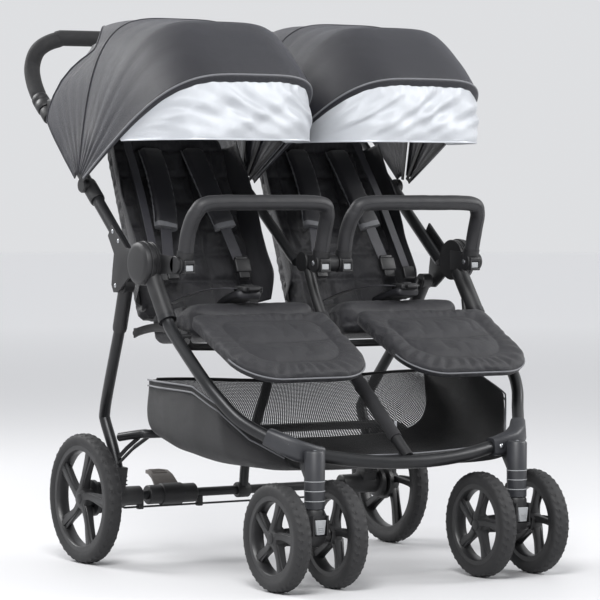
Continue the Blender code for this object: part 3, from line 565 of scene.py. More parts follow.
# ---------------------------------------------------------------------- rear frame
# The rear legs hang from the hinge plates: a moulded top sleeve, a bent tube, and a foot
# that holds the axle tube. A cross tube, its braces and a middle leg tie them together.
REAR_PIVOT = Vector((0, 0.074, 0.545))
top = Vector((0.345, REAR_PIVOT.y, REAR_PIVOT.z))
sleeve_end = Vector((0.334, 0.121, 0.458))
shank = smooth([top.lerp(sleeve_end, 0.8), sleeve_end, (0.312, 0.208, 0.336), (0.303, 0.238, 0.292),
                (0.301, 0.239, 0.274), (0.298, 0.214, 0.224), (0.295, 0.199, 0.176), (0.295, 0.203, 0.150)], 6)
bm = swept(shank, ring(0.0110))
pair("rear_leg_tube", bm, tube_finish, "rear_frame", ["rear_leg_{}"])
bm = swept([top, top.lerp(sleeve_end, 0.15), top.lerp(sleeve_end, 0.93), sleeve_end], ring(0.0142, 32),
           [0.98, 1, 1, 0.93])
bm = turned([(0.3335, 0), (0.3335, 0.0135), (0.3348, 0.0148), (0.3548, 0.0148), (0.3560, 0.0135), (0.3560, 0)],
            (0, REAR_PIVOT.y, REAR_PIVOT.z), bm=bm)
bm = turned([(0.350, 0), (0.350, 0.0058), (0.3636, 0.0058), (0.3636, 0)], (0, REAR_PIVOT.y, REAR_PIVOT.z), bm=bm)
pair("rear_leg_sleeve", bm, plastic_finish, "rear_frame")
at = (0, REAR_AXLE.y, REAR_AXLE.z)
bm = turned([(0.2352, 0), (0.2352, 0.0170), (0.2370, 0.0190), (0.2700, 0.0190), (0.2720, 0.0205), (0.3180, 0.0205),
             (0.3200, 0.0290), (0.3215, 0.0305), (0.3290, 0.0310), (0.3300, 0.0300), (0.3300, 0)], at)
bm = plate([(0.184, 0.1860), (0.2150, 0.1880), (0.2250, 0.1600), (0.2390, 0.1320), (0.2050, 0.1180),
            (0.1960, 0.1400)], 0.2790, 0.3110, 0.0040, 3, bm)
bm = turned([(0.3250, 0), (0.3250, 0.0056), (REAR_X + 0.007, 0.0056), (REAR_X + 0.007, 0)], at, bm=bm)
for z in (0.150, 0.158, 0.166):
    bm = block((0.2775, 0.192, z), (0.3125, 0.224 - 0.4 * (z - 0.150), z + 0.003), 0.0008, 2, bm)
pair("rear_foot", bm, plastic_finish, "rear_frame")
bm = swept([(-0.236, REAR_AXLE.y, REAR_AXLE.z), (0.236, REAR_AXLE.y, REAR_AXLE.z)], ring(0.0090, 32))
piece("axle_tube", bm, tube_finish, "rear_frame", ["rear_axle"])
ends = [Vector((0.2930, 0.196, 0.2450)), Vector((0.272, 0.135, 0.255)), Vector((0.235, 0.107, 0.256))]
route = smooth([*ends, *[FLIP @ p for p in reversed(ends)]], 8)
piece("cross_tube", swept(route, ring(0.0085)), tube_finish, "rear_frame", ["rear_cross_tube"])
bm = swept([(0.2955, 0.203, 0.190), (0.2790, 0.164, 0.226), (0.2640, 0.130, 0.250)], slab(0.005, 0.020, 0.002))
bm = swept([(0.2955, 0.200, 0.203), (0.2860, 0.180, 0.224), (0.2750, 0.152, 0.246)], slab(0.008, 0.005, 0.0015), bm=bm)
pair("corner_brace", bm, plastic_finish, "rear_frame")
route = smooth([(0, 0.085, 0.500), (0, 0.119, 0.352), (0, 0.198, 0.200), (0, 0.2135, 0.1360)], 10)
piece("middle_rear_leg", swept(route, ring(0.0095)), tube_finish, "rear_frame", ["centre_rear_leg"])
bm = turned([(-0.014, 0.0092), (-0.014, 0.0140), (-0.012, 0.0155), (0.012, 0.0155), (0.014, 0.0140), (0.014, 0.0092)],
            at, closed=True)
piece("middle_foot", bm, plastic_finish, "rear_frame")

# --------------------------------------------------------------------------- brake
# One foot pedal on the riders' right turns a sleeve on the axle tube. A thin rod beneath
# carries the motion across, and a steel pin then locks each rear wheel.
pedal_finish = finish_of("pedal plastic", (0.115, 0.105, 0.098), 0.5)
mottle(pedal_finish, (0.115, 0.105, 0.098), 60, 0.15, (0.42, 0.58))
grain(pedal_finish, 1500, 0.00012)
bm = turned([(-0.2190, 0.0094), (-0.2190, 0.0178), (-0.2175, 0.0190), (-0.1900, 0.0190), (-0.1885, 0.0215),
             (-0.1440, 0.0215), (-0.1425, 0.0190), (-0.1135, 0.0190), (-0.1120, 0.0178), (-0.1120, 0.0094)],
            at, closed=True)
piece("pedal_sleeve", bm, plastic_finish, "brake_pedal")
bm = bmesh.new()
tread = [(-0.1930, 0.2290), (-0.1360, 0.2290), (-0.1400, 0.2500), (-0.1440, 0.2780)]
for i in range(9):
    turn = math.pi * i / 8
    tread.append((-0.1660 + 0.0220 * math.cos(turn), 0.2780 + 0.0150 * math.sin(turn)))
tread.append((-0.1900, 0.2500))
face = bm.faces.new([bm.verts.new((x, y, 0)) for x, y in tread])
grown = bmesh.ops.extrude_face_region(bm, geom=[face])["geom"]
bmesh.ops.translate(bm, verts=[g for g in grown if isinstance(g, bmesh.types.BMVert)], vec=(0, 0, 0.0065))
for x in (0.2400, 0.2550, 0.2700):
    cut = bm.verts[:] + bm.edges[:] + bm.faces[:]
    bmesh.ops.bisect_plane(bm, geom=cut, plane_co=(0, x, 0), plane_no=(0, 1, 0))
bmesh.ops.recalc_face_normals(bm, faces=bm.faces)
for i in range(5):
    y = 0.2600 + 0.0058 * i
    bm = block((-0.182 + 0.0008 * i, y, 0.0055), (-0.150 - 0.0008 * i, y + 0.0022, 0.0077), 0.0006, 2, bm)
for v in bm.verts:
    rise = min(1, max(0, (v.co.y - 0.2290) / 0.046))
    v.co.z += 0.1290 + 0.034 * math.sin(rise * math.pi / 2)
piece("pedal_tongue", bm, pedal_finish, "brake_pedal", ["brake_pedal"])
bm = swept([(-0.286, 0.2190, 0.1110), (-0.270, 0.2190, 0.1035), (0.270, 0.2190, 0.1035), (0.286, 0.2190, 0.1110)],
           ring(0.0021, 12))
piece("brake_rod", bm, plastic_finish, "rear_frame")
bm = None
for x in (-0.235, -0.100, 0.235):
    bm = block((x - 0.006, 0.2130, 0.0990), (x + 0.006, 0.2250, 0.1200), 0.0020, 3, bm)
piece("rod_guides", bm, plastic_finish, "rear_frame")
bm = turned([(0.3120, 0), (0.3120, 0.0027), (0.3345, 0.0027), (0.3352, 0.0018), (0.3352, 0)],
            (0, REAR_AXLE.y, REAR_AXLE.z + 0.0255), steps=20)
pair("wheel_lock_pin", bm, rivet_finish, "brake_pin_{}", ["brake_pin_{}"])

# ---------------------------------------------------------------------- side links
# An arched flat link joins each side tube to its rear leg, so that both fold together.
top_edge, low_edge = [], []
for i in range(17):
    t = i / 16
    y, z = -0.100 + 0.207 * t, 0.452 + 0.014 * math.sin(math.pi * t)
    grow = 0.0015 if 0.06 < t < 0.94 else 0.003
    top_edge.append((y, z + 0.0065 + grow))
    low_edge.append((y, z - 0.0065 - grow))
bm = plate([*low_edge, *reversed(top_edge)], 0.3062, 0.3115, 0.0010)
bm = plate([(y, z + 0.0035) for y, z in low_edge[2:-2]] + [(y, z - 0.0035) for y, z in reversed(top_edge[2:-2])],
           0.3112, 0.3128, 0.0005, bm=bm)
bm = turned([(0.308, 0), (0.308, 0.0056), (0.3270, 0.0056), (0.3270, 0)], (0, -0.100, 0.452), bm=bm)
for y in (-0.100, 0.107):
    bm = rivet((0.3062, y, 0.452), (-1, 0, 0), 0.0050, bm)
pair("side_link", bm, plastic_finish, "fold_link_{}", ["fold_link_{}"])

# --------------------------------------------------------------------- hinge caps
# The upper half of each fold hinge: a round cap with a low dome, over a flat plate that
# is riveted to the upper tube and carries the top of the rear leg.
bm = turned([(0.3566, 0), (0.3566, 0.0412), (0.3574, 0.0420), (0.3632, 0.0420), (0.3640, 0.0412), (0.3642, 0.0400),
             (0.3650, 0.0400), (0.3660, 0.0412), (0.3700, 0.0408), (0.3740, 0.0390), (0.3766, 0.0350),
             (0.3778, 0.0290), (0.3779, 0)], (0, HINGE.y, HINGE.z), steps=72)
pair("hinge_dome", bm, plastic_finish, "upper_frame", ["hinge_cap_{}"], 28)
outline = [(-0.050, 0.565), (-0.034, 0.618), (0.000, 0.614), (0.034, 0.618), (0.088, 0.662), (0.104, 0.640),
           (0.080, 0.606), (0.086, 0.575), (0.090, 0.546), (0.082, 0.532), (0.066, 0.532), (0.050, 0.542),
           (0.024, 0.560)]
bm = plate(outline, 0.3640, 0.3692, 0.0012, 2)
pair("hinge_plate", bm, plastic_finish, "upper_frame")
bm = None
for y, z in ((0.062, 0.6300), (0.084, 0.6480), (0.074, 0.5450)):
    bm = rivet((0.3690, y, z), (1, 0, 0), 0.0040, bm)
pair("plate_rivets", bm, rivet_finish, "upper_frame")

# ------------------------------------------------------------------- upper tubes
# Straight tubes slope back from the hinges to the push handle. A thinner sheathed rod
# does the same between the seats.
UPPER_START = Vector((SIDE_X, 0.0324, 0.588))
UPPER_SLOPE = Vector((0, 0.766, 0.643))


def on_upper(distance, side=1):
    point = UPPER_START + distance * UPPER_SLOPE
    return Vector((side * point.x, point.y, point.z))


pair("upper_side_tube", swept([on_upper(-0.006), on_upper(0.485)], ring(TUBE_R)), tube_finish, "upper_frame",
     ["upper_tube_{}"])
bm = turned([(-0.004, 0), (-0.004, 0.0185), (0.004, 0.0185), (0.004, 0)], HINGE)
bm = swept([(0, HINGE.y + 0.010, HINGE.z), (0, 0.030, 0.600), (0, 0.190, 0.722)], ring(0.0038, 16), bm=bm)
bm = swept([(0, 0.012, 0.588), (0, 0.030, 0.600), (0, 0.190, 0.722)], ring(0.0100), bm=bm)
piece("middle_upper_rod", bm, tube_finish, "upper_frame", ["centre_upper_tube"])

# ------------------------------------------------------------------- push handle
# One hoop of tube from side to side, in a thick black foam grip, with a moulded collar
# where it meets each upper tube.
foam_finish = finish_of("grip foam", (0.009, 0.009, 0.010), 0.8, sheen_weight=0.04)
mottle(foam_finish, (0.009, 0.009, 0.010), 90, 0.25, (0.72, 0.9))
grain(foam_finish, 1100, 0.0003)
half = [on_upper(0.4707), on_upper(0.500), Vector((0.350, 0.447, 0.946)), Vector((0.346, 0.4605, 0.980)),
        Vector((0.336, 0.450, 1.012)), Vector((0.300, 0.439, 1.031)), Vector((0.240, 0.437, 1.035))]
handle_route = smooth([*half, *[FLIP @ p for p in reversed(half)]], 10)
piece("handle_hoop", swept(handle_route, ring(0.0100)), tube_finish, "upper_frame", ["handle_tube"])
grip_route = [p for p in handle_route if p.z > on_upper(0.502).z]
ends = [0.86, 0.96, 1.0]
sizes = ends + [1.0] * (len(grip_route) - 2 * len(ends)) + ends[::-1]
piece("handle_foam", swept(grip_route, ring(0.0160, 40), sizes), foam_finish, "upper_frame", ["handle_grip"])
bm = swept([on_upper(d) for d in (0.466, 0.468, 0.484, 0.486, 0.489, 0.491, 0.502, 0.504)], ring(0.0172, 40),
           [0.92, 0.98, 1.0, 0.92, 0.92, 1.0, 0.98, 0.92])
pair("handle_collar", bm, plastic_finish, "upper_frame")

# -------------------------------------------------------------------- bumper bars
# A padded bar swings across each seat. Its soft cover is gathered inside the two bends;
# below it, round knuckles plug on to the sockets, each with a square release button.
cover_finish = finish_of("bumper cover", (0.012, 0.012, 0.014), 0.52, sheen_weight=0.06, sheen_roughness=0.4)
mottle(cover_finish, (0.012, 0.012, 0.014), 35, 0.2, (0.46, 0.6))
grain(cover_finish, 1000, 0.00018)
BAR_OUT = 0.3253
BAR_IN = 0.0257
BAR_R = 0.0145


def bar_route(start, steps=10):
    """The bar's middle line, from one knuckle over the seat to the other."""
    out = [(BAR_OUT, -0.1135 - start * 0.4, 0.597 + start), (BAR_OUT, -0.130, 0.650)]
    back = [(BAR_IN, y, z) for _, y, z in reversed(out)]
    return smooth([*out, (0.3190, -0.147, 0.684), (0.296, -0.156, 0.7012), (0.20, -0.158, 0.703), (0.16, -0.158, 0.703),
                   (0.055, -0.156, 0.7012), (0.0320, -0.147, 0.684), *back], steps)


def gathers(point, normal):
    """Depth of the cover's creases: they fan out inside each bend and fade away from it."""
    deep = 0
    for corner in (Vector((0.2985, -0.1450, 0.6760)), Vector((0.0525, -0.1450, 0.6760))):
        away = point - corner
        inside = max(0, -normal.dot(away.normalized()))
        fan = math.atan2(away.z, away.x)
        deep += inside * math.exp(-((away.length - 0.016) / 0.012) ** 2) * (0.5 + 0.5 * math.sin(26 * fan))
    return deep


bm = swept(bar_route(0.012, 24), ring(BAR_R, 56))
bm.normal_update()
for v in bm.verts:
    v.co -= v.normal * (0.0022 * gathers(v.co, v.normal) + 0.0003 * noise.noise(v.co * 60))
cover_left, cover_right = pair("bumper_cover", bm, cover_finish, "bumper_{}", ["bumper_bar_{}"], 180)
frames = places(bar_route(0.012, 24), (0, 1, 0))
bm = swept([f @ Vector((0, -BAR_R + 0.0001, 0)) for f in frames], ring(0.0007, 8))
pair("cover_seam", bm, sleeve_finish, "bumper_{}")
bm = None
for x in (BAR_OUT, BAR_IN):
    bm = turned([(x - 0.0132, 0), (x - 0.0132, 0.0160), (x - 0.0118, 0.0175), (x + 0.0128, 0.0175),
                 (x + 0.0142, 0.0160), (x + 0.0142, 0)], (0, BAR_PIVOT.y, BAR_PIVOT.z), bm=bm)
    bm = swept([(x, -0.1125, 0.590), (x, -0.1165, 0.6045), (x, -0.1190, 0.6125)], ring(0.0160, 32), [0.9, 1.0, 1.0],
               bm=bm)
    bm = block((x - 0.0118, -0.1340, 0.5700), (x + 0.0100, -0.1180, 0.5745), 0.0015, bm=bm)
    bm = block((x - 0.0118, -0.1340, 0.5870), (x + 0.0100, -0.1180, 0.5960), 0.0025, bm=bm)
    for side in (-0.0110, 0.0088):
        bm = block((x + side - 0.0010, -0.1335, 0.5710), (x + side + 0.0014, -0.1180, 0.5900), 0.0009, bm=bm)
pair("bumper_knuckle", bm, plastic_finish, "bumper_{}")
for place, x in (("outer", BAR_OUT), ("inner", BAR_IN)):
    bm = block((x - 0.0090, -0.1318, 0.5752), (x + 0.0070, -0.1215, 0.5862), 0.0010)
    pair(f"release_button_{place}", bm, pale_finish, f"bumper_button_{place}_{{}}", [f"bumper_button_{place}_{{}}"])
bm = None
for x, way in ((BAR_OUT + 0.0142, 1), (BAR_OUT - 0.0132, -1), (BAR_IN + 0.0142, 1), (BAR_IN - 0.0132, -1)):
    bm = rivet((x, BAR_PIVOT.y, BAR_PIVOT.z), (way, 0, 0), 0.0050, bm)
pair("knuckle_screws", bm, rivet_finish, "bumper_{}")

# ------------------------------------------------------------------------ canopies
# Each seat has its own hood of coated charcoal cloth on two squared bows and a front rim.
# A fixed rear panel runs from behind the first bow down to the upper tube.
CANOPY_PIVOT = Vector((0, 0.202, 0.735))
HOOD_MID = 0.194
HOOD_HALF = 0.189
REAR_HALF = 0.1838
SPLIT = 102.0  # degrees above the level line to the rear, where hood and rear panel meet
FIRST_BOW = 126.0
RIM = 149.5
HOOD_LINE = ((SPLIT, 0.3325), (109.0, 0.3375), (118.0, 0.3560), (FIRST_BOW, 0.3860), (138.0, 0.3965), (RIM, 0.4110))
BANDS = 0.314  # Wave Texture scale for one band a metre


def woven(name, colour, roughness, pitch, depth, spread=0.15, **values):
    """Plain-weave cloth on a UV map in metres: two sets of threads, uneven in colour."""
    material = finish_of(name, colour, roughness, **values)
    at = node(material, "UVMap", uv_map="weave").outputs["UV"]
    threads = []
    for direction in ("X", "Y"):
        wave = node(material, "TexWave", {"Vector": at, "Scale": BANDS / pitch, "Distortion": 0.6, "Detail": 1.0,
                                          "Detail Scale": 2.0}, bands_direction=direction)
        threads.append(wave.outputs["Fac"])
    cloth = node(material, "Math", {0: threads[0], 1: threads[1]}, operation="MAXIMUM").outputs["Value"]
    creases = node(material, "TexNoise", {"Vector": at, "Scale": 28.0, "Detail": 4.0}).outputs["Fac"]
    height = node(material, "Math", {0: creases, 1: 6.0, 2: cloth}, operation="MULTIPLY_ADD").outputs["Value"]
    relief(material, height, depth)
    mottle(material, colour, 7.0, spread, place=at)
    return material


def between(stops, at):
    """Reads a value off a list of (place, value) stops."""
    for (a, low), (b, high) in zip(stops, stops[1:]):
        if at <= b:
            return low + (high - low) * max(0, at - a) / (b - a)
    return stops[-1][1]


def ease(low, high, at):
    t = min(1, max(0, (at - low) / (high - low)))
    return t * t * (3 - 2 * t)


def hoop(angle, around, reach, half=HOOD_HALF):
    """A point on a squared hoop in the plane through both pivots; around is 0 on the outer side."""
    c, s = math.cos(around), math.sin(around)
    stretch = (c**4 + s**4) ** -0.25
    out = reach * stretch * s
    lean = math.radians(angle)
    return Vector((HOOD_MID + half * stretch * c, CANOPY_PIVOT.y + out * math.cos(lean),
                   CANOPY_PIVOT.z + out * math.sin(lean)))


def sheet(across, along, place, flat, thickness, relax=0):
    """Cloth laid through place(u, v), with a UV map in metres, relaxed and given its thickness."""
    bm = bmesh.new()
    weave = bm.loops.layers.uv.new("weave")
    bmesh.ops.create_grid(bm, x_segments=across, y_segments=along, size=0.5, calc_uvs=True)
    for face in bm.faces:
        for corner in face.loops:
            corner[weave].uv = Vector((corner.vert.co.x * flat[0], corner.vert.co.y * flat[1]))
    for v in bm.verts:
        v.co = place(v.co.x + 0.5, v.co.y + 0.5)
    inner = [v for v in bm.verts if not v.is_boundary]
    for _ in range(relax):
        bmesh.ops.smooth_vert(bm, verts=inner, factor=0.5, use_axis_x=True, use_axis_y=True, use_axis_z=True)
    bmesh.ops.recalc_face_normals(bm, faces=bm.faces)
    bmesh.ops.solidify(bm, geom=bm.faces[:], thickness=thickness)
    return bm


canopy_finish = woven("canopy cloth", (0.0075, 0.0075, 0.0115), 0.5, 0.0008, 0.00022, 0.12, sheen_weight=0.07,
                      sheen_roughness=0.4, sheen_tint=(0.75, 0.78, 0.95, 1))
FOOT = 0.075  # radians round the hoop, where the cloth ends above the pivot
HOOD_FLAT = (0.93, 0.33)
REAR_FLAT = (0.90, 0.27)


def hood_point(u, v):
    around = FOOT + (math.pi - 2 * FOOT) * u
    angle = SPLIT + (RIM - SPLIT) * v
    reach = between(HOOD_LINE, angle)
    side = abs(math.cos(around)) ** 3
    point = hoop(angle, around, reach)
    pull = 0.0022 * side * math.sin(math.radians(angle) * 22 + 3 * u) * math.sin(math.pi * v)
    pucker = 0.0008 * ease(0.93, 1.0, v) * math.sin(150 * u)
    point.x += math.copysign(pull, math.cos(around))
    point.z += pucker + 0.0010 * noise.noise(point * 22)
    return point


hoods = pair("hood", sheet(110, 70, hood_point, HOOD_FLAT, 0.0016, 4), canopy_finish, "canopy_{}",
             ["canopy_hood_{}"], 180)


def rear_edge(around):
    """Angle of the rear panel's free edge: down at the tube, up the side, then back over the top."""
    c, s = math.cos(around), math.sin(around)
    height = (c**4 + s**4) ** -0.25 * s
    return 41.5 + 52 * ease(0.60, 0.82, height) - 20 * ease(0.70, 0.99, s)


def rear_point(u, v):
    around = FOOT + (math.pi - 2 * FOOT) * u
    edge = rear_edge(around)
    angle = edge + (SPLIT - 0.2 - edge) * v
    point = hoop(angle, around, 0.3258, REAR_HALF)
    side = abs(math.cos(around)) ** 3
    pull = 0.0026 * side * math.sin(math.radians(angle) * 17 + 4 * u) * math.sin(math.pi * v)
    point.x += math.copysign(pull, math.cos(around))
    point.z += 0.0010 * noise.noise(point * 20)
    return point


rears = pair("rear_panel", sheet(110, 44, rear_point, REAR_FLAT, 0.0016, 2), canopy_finish, "upper_frame",
             ["canopy_rear_{}"], 180)


def hoop_line(angle, reach, half, low, high, steps=96):
    turns = [low + (high - low) * i / steps for i in range(steps + 1)]
    return [hoop(angle, t, reach, half) for t in turns]


rim_reach = HOOD_LINE[-1][1]
bm = swept(hoop_line(RIM + 0.3, rim_reach + 0.0006, HOOD_HALF + 0.0004, FOOT, math.pi - FOOT), ring(0.0019, 12))
pair("rim_piping", bm, piping_finish, "canopy_{}")
bm = swept(hoop_line(SPLIT + 0.4, HOOD_LINE[0][1] + 0.0004, HOOD_HALF + 0.0002, FOOT, math.pi - FOOT), ring(0.0013, 10))
pair("seam_piping", bm, canopy_finish, "canopy_{}")


def hem_band(u, v):
    """The folded hem under the rim piping, turned in towards the visor."""
    around = FOOT + (math.pi - 2 * FOOT) * u
    return hoop(RIM + 0.6 + 0.9 * math.sin(math.pi * v / 2), around, rim_reach - 0.0145 * v, HOOD_HALF - 0.0055 * v)


pair("rim_hem", sheet(110, 6, hem_band, (0.93, 0.016), 0.0012), canopy_finish, "canopy_{}",
     crease=180)
edge_points = [rear_point(i / 110, 0) for i in range(111)]
pair("rear_edge_tape", swept(edge_points, ring(0.0016, 10)), canopy_finish, "upper_frame")

# --------------------------------------------------------------------------- visors
# A silver-white flap is sewn inside each rim and hangs, softly creased, to a level hem.
# It can be turned up over the hood.
visor_finish = woven("silver cloth", (0.50, 0.52, 0.55), 0.32, 0.0008, 0.00022, 0.05, metallic=0.25)
HEM_Z = 0.8205
VISOR_FLAT = (0.62, 0.125)
hem_start = 0.0
while hoop(RIM, hem_start, rim_reach - 0.010).z < HEM_Z + 0.004:
    hem_start += 0.002


def visor_point(u, v):
    around = hem_start + (math.pi - 2 * hem_start) * u
    top = hoop(RIM, around, rim_reach - 0.0095, HOOD_HALF - 0.0055)
    hem = Vector((top.x, top.y - 0.012 + 0.0035 * math.sin(17 * u), HEM_Z))
    point = top.lerp(hem, v)
    drop = top.z - HEM_Z
    creases = 0.5 * noise.noise(Vector((u * 6 + v * 2.4, v * 1.6, 3.7))) \
        + 0.4 * noise.noise(Vector((u * 13 - v * 5, v * 2.5, 9.1)))
    gather = 0.0012 * ease(0.35, 0.0, v) * math.sin(130 * u + 2 * math.sin(11 * u))
    bulge = 0.010 * math.sin(math.pi * v) + 0.022 * creases * math.sin(math.pi * v) ** 0.7 + gather
    point.y -= bulge * ease(0, 0.06, drop)
    return point


visors = pair("visor", sheet(120, 40, visor_point, VISOR_FLAT, 0.0011, 1), visor_finish, "visor_{}",
              ["visor_{}"], 180)
hem_line = [visor_point(i / 100, 1) + Vector((0, -0.0004, 0.0006)) for i in range(101)]
pair("visor_hem", swept(hem_line, ring(0.0011, 10, 1.6), up=(0, 0, 1)), visor_finish, "visor_{}")

# ------------------------------------------------------------------ canopy brackets
# A moulded clamp on each upper tube carries the two moving bows of the hood, and a small
# joint at the collar holds the rear corner of the cloth. A third bow stays with the
# fixed rear panel.
bm = swept([on_upper(0.185), on_upper(0.189), on_upper(0.232), on_upper(0.236)], ring(0.0150, 32), [0.95, 1, 1, 0.95])
bm = turned([(0.3600, 0), (0.3600, 0.0150), (0.3700, 0.0150), (0.3725, 0.0130), (0.3725, 0)],
            (0, CANOPY_PIVOT.y + 0.004, CANOPY_PIVOT.z + 0.002), bm=bm)
pair("canopy_clamp", bm, plastic_finish, "upper_frame")
bm = swept([on_upper(0.440), on_upper(0.443), on_upper(0.460), on_upper(0.463)], ring(0.0155, 32), [0.95, 1, 1, 0.95])
bm = block((0.3440, 0.352, 0.880), (0.3600, 0.372, 0.908), 0.003, bm=bm)
pair("corner_joint", bm, plastic_finish, "upper_frame")


def bow(angle, reach, half, bm=None):
    """A flat strip bent round inside the cloth, lying in the cloth's own direction."""
    lean = math.radians(angle)
    return swept(hoop_line(angle, reach, half, 0.05, math.pi - 0.05), slab(0.0022, 0.009, 0.0008, 1),
                 up=(0, -math.sin(lean), math.cos(lean)), bm=bm)


bm = bow(RIM - 1.2, rim_reach - 0.004, HOOD_HALF - 0.0025)
bm = bow(FIRST_BOW, 0.3830, HOOD_HALF - 0.0025, bm)
pair("hood_bows", bm, plastic_finish, "canopy_{}")
pair("rear_bow", bow(SPLIT - 1.5, 0.3233, REAR_HALF - 0.0025), plastic_finish, "upper_frame")

# ------------------------------------------------------------------------ leg rests
# A quilted pad tilts at the front of each seat: a puckered border round a D-shaped
# middle with one cross seam. It is blown up by simulation and held down at its seams.
cloth_finish = woven("seat cloth", (0.0080, 0.0080, 0.0110), 0.55, 0.0009, 0.00025, 0.18, sheen_weight=0.08,
                     sheen_roughness=0.4)
band_finish = finish_of("webbing", (0.022, 0.022, 0.028), 0.5, sheen_weight=0.08)
mottle(band_finish, (0.022, 0.022, 0.028), 60, 0.2)
grain(band_finish, 900, 0.00035)


def rounded(points, radii, steps=10):
    """A closed outline with its corners rounded."""
    outline = []
    for i, radius in enumerate(radii):
        before, at, after = (Vector(points[(i + k) % len(points)]) for k in (-1, 0, 1))
        back, on = (before - at).normalized(), (after - at).normalized()
        half = back.angle(on) / 2
        centre = at + (back + on).normalized() * radius / math.sin(half)
        first, last = at + back * radius / math.tan(half) - centre, at + on * radius / math.tan(half) - centre
        outline += [centre + first.lerp(last, k / steps).normalized() * radius for k in range(steps + 1)]
    return outline


def nearest(lines, spacing=0.002):
    """A search tree over points laid closely along lines."""
    spots = []
    for line in lines:
        for a, b in zip(line, line[1:]):
            a, b = Vector(a), Vector(b)
            count = max(1, int((b - a).length / spacing))
            spots += [a.lerp(b, k / count) for k in range(count + 1)]
    tree = kdtree.KDTree(len(spots))
    for i, spot in enumerate(spots):
        tree.insert((*spot[:2], 0), i)
    tree.balance()
    return tree


def quilted(outline, thick, seams, plane, swell=0.02, cap=0.0045, round_off=0.018, ripple=None):
    """A pad in its own plane, plump between its seams, blown up as cloth and set in the frame."""
    bm = bmesh.new()
    face = bm.faces.new([bm.verts.new((x, y, -thick / 2)) for x, y in outline])
    grown = bmesh.ops.extrude_face_region(bm, geom=[face])["geom"]
    bmesh.ops.translate(bm, verts=[g for g in grown if isinstance(g, bmesh.types.BMVert)], vec=(0, 0, thick))
    bmesh.ops.recalc_face_normals(bm, faces=bm.faces)
    mesh = bpy.data.meshes.new("pad")
    bm.to_mesh(mesh)
    bm.free()
    pad = bpy.data.objects.new("pad", mesh)
    scene.collection.objects.link(pad)
    remesh = pad.modifiers.new("remesh", "REMESH")
    remesh.mode = "VOXEL"
    remesh.voxel_size = 0.0045
    pad.data = bpy.data.meshes.new_from_object(pad.evaluated_get(bpy.context.evaluated_depsgraph_get()))
    pad.modifiers.clear()
    rim, stitches = nearest([[*outline, outline[0]]]), nearest(seams)
    sewn = pad.vertex_groups.new(name="sewn")
    start = []
    for v in pad.data.vertices:
        spot = Vector((v.co.x, v.co.y, 0))
        to_rim, to_seam = rim.find(spot)[2], stitches.find(spot)[2]
        edge = math.sqrt(1 - (1 - min(1, to_rim / round_off)) ** 2)
        seam = math.sqrt(1 - (1 - min(1, to_seam / round_off)) ** 2)
        v.co.z *= (0.45 + 0.55 * edge) * (0.45 + 0.55 * seam if v.co.z > 0 else 1)
        if ripple and v.co.z > 0:
            v.co.z += ripple(v.co, to_rim, to_seam)
        start.append(v.co.copy())
        if to_seam < 0.0028 and v.co.z > 0 or v.co.z < -0.3 * thick:
            sewn.add([v.index], 1.0, "REPLACE")
    cloth = pad.modifiers.new("cloth", "CLOTH")
    cloth.settings.vertex_group_mass = "sewn"
    cloth.settings.use_pressure = True
    cloth.settings.uniform_pressure_force = 4
    cloth.settings.shrink_min = -swell
    cloth.settings.bending_stiffness = 0.05
    cloth.settings.effector_weights.gravity = 0
    for frame_number in range(1, 21):
        scene.frame_set(frame_number)
    blown = pad.evaluated_get(bpy.context.evaluated_depsgraph_get()).data
    ends = [v.co.copy() for v in blown.vertices]
    for v, a, b in zip(pad.data.vertices, start, ends):
        move = b - a
        v.co = a + move * min(1, cap / max(move.length, 1e-9))
    pad.modifiers.clear()
    scene.frame_set(1)
    bm = bmesh.new()
    bm.from_mesh(pad.data)
    bpy.data.objects.remove(pad)
    weave = bm.loops.layers.uv.new("weave")
    for made in bm.faces:
        for corner in made.loops:
            corner[weave].uv = corner.vert.co.xy
    bmesh.ops.transform(bm, matrix=plane, verts=bm.verts)
    return bm


def tilted(x, y, z, degrees):
    """The plane of a pad; its own Y runs up at this angle towards the rear."""
    return Matrix.Translation((x, y, z)) @ Matrix.Rotation(math.radians(degrees), 4, "X")


def divided(made):
    for obj in made:
        finer = obj.modifiers.new("finer", "SUBSURF")
        finer.levels = finer.render_levels = 1
    return made


LEG_PLANE = tilted(0.183, -0.131, 0.490, 27)
rest_outline = rounded([(-0.149, -0.008), (-0.138, -0.237), (0.138, -0.237), (0.149, -0.008)],
                       [0.022, 0.080, 0.080, 0.022])
inner = rounded([(-0.106, -0.040), (-0.099, -0.193), (0.099, -0.193), (0.106, -0.040)], [0.030, 0.062, 0.062, 0.030])
cross = [(x, -0.112 - 0.010 * (1 - (x / 0.1) ** 2)) for x in (-0.102, -0.08, -0.05, -0.02, 0.02, 0.05, 0.08, 0.102)]


def rest_ripple(at, to_rim, to_seam):
    around = math.atan2(at.y + 0.11, at.x)
    border = math.exp(-((to_rim - 0.018) / 0.014) ** 2)
    fan = border * math.sin(34 * around + 1.3 * math.sin(5 * around)) * (0.6 + 0.8 * ease(0.0, -0.2, at.y))
    rear = ease(-0.055, -0.020, at.y) * math.sin(at.x * 620 + 2 * math.sin(at.x * 47))
    stitch = math.exp(-to_seam / 0.008) * math.sin(at.x * 700) * 0.5
    return 0.0013 * fan + 0.0007 * rear + 0.0006 * stitch + 0.0014 * noise.noise(Vector((at.x * 30, at.y * 30, 1)))


divided(pair("leg_rest_pad", quilted(rest_outline, 0.028, [[*inner, inner[0]], cross], LEG_PLANE, ripple=rest_ripple),
             cloth_finish, "leg_rest_{}", ["leg_rest_{}"], 180))
bm = swept([LEG_PLANE @ Vector((x * 1.012, y * 1.008, 0.001)) for x, y in [*rest_outline[11:-11]]], ring(0.0016, 10))
pair("leg_rest_piping", bm, piping_finish, "leg_rest_{}")

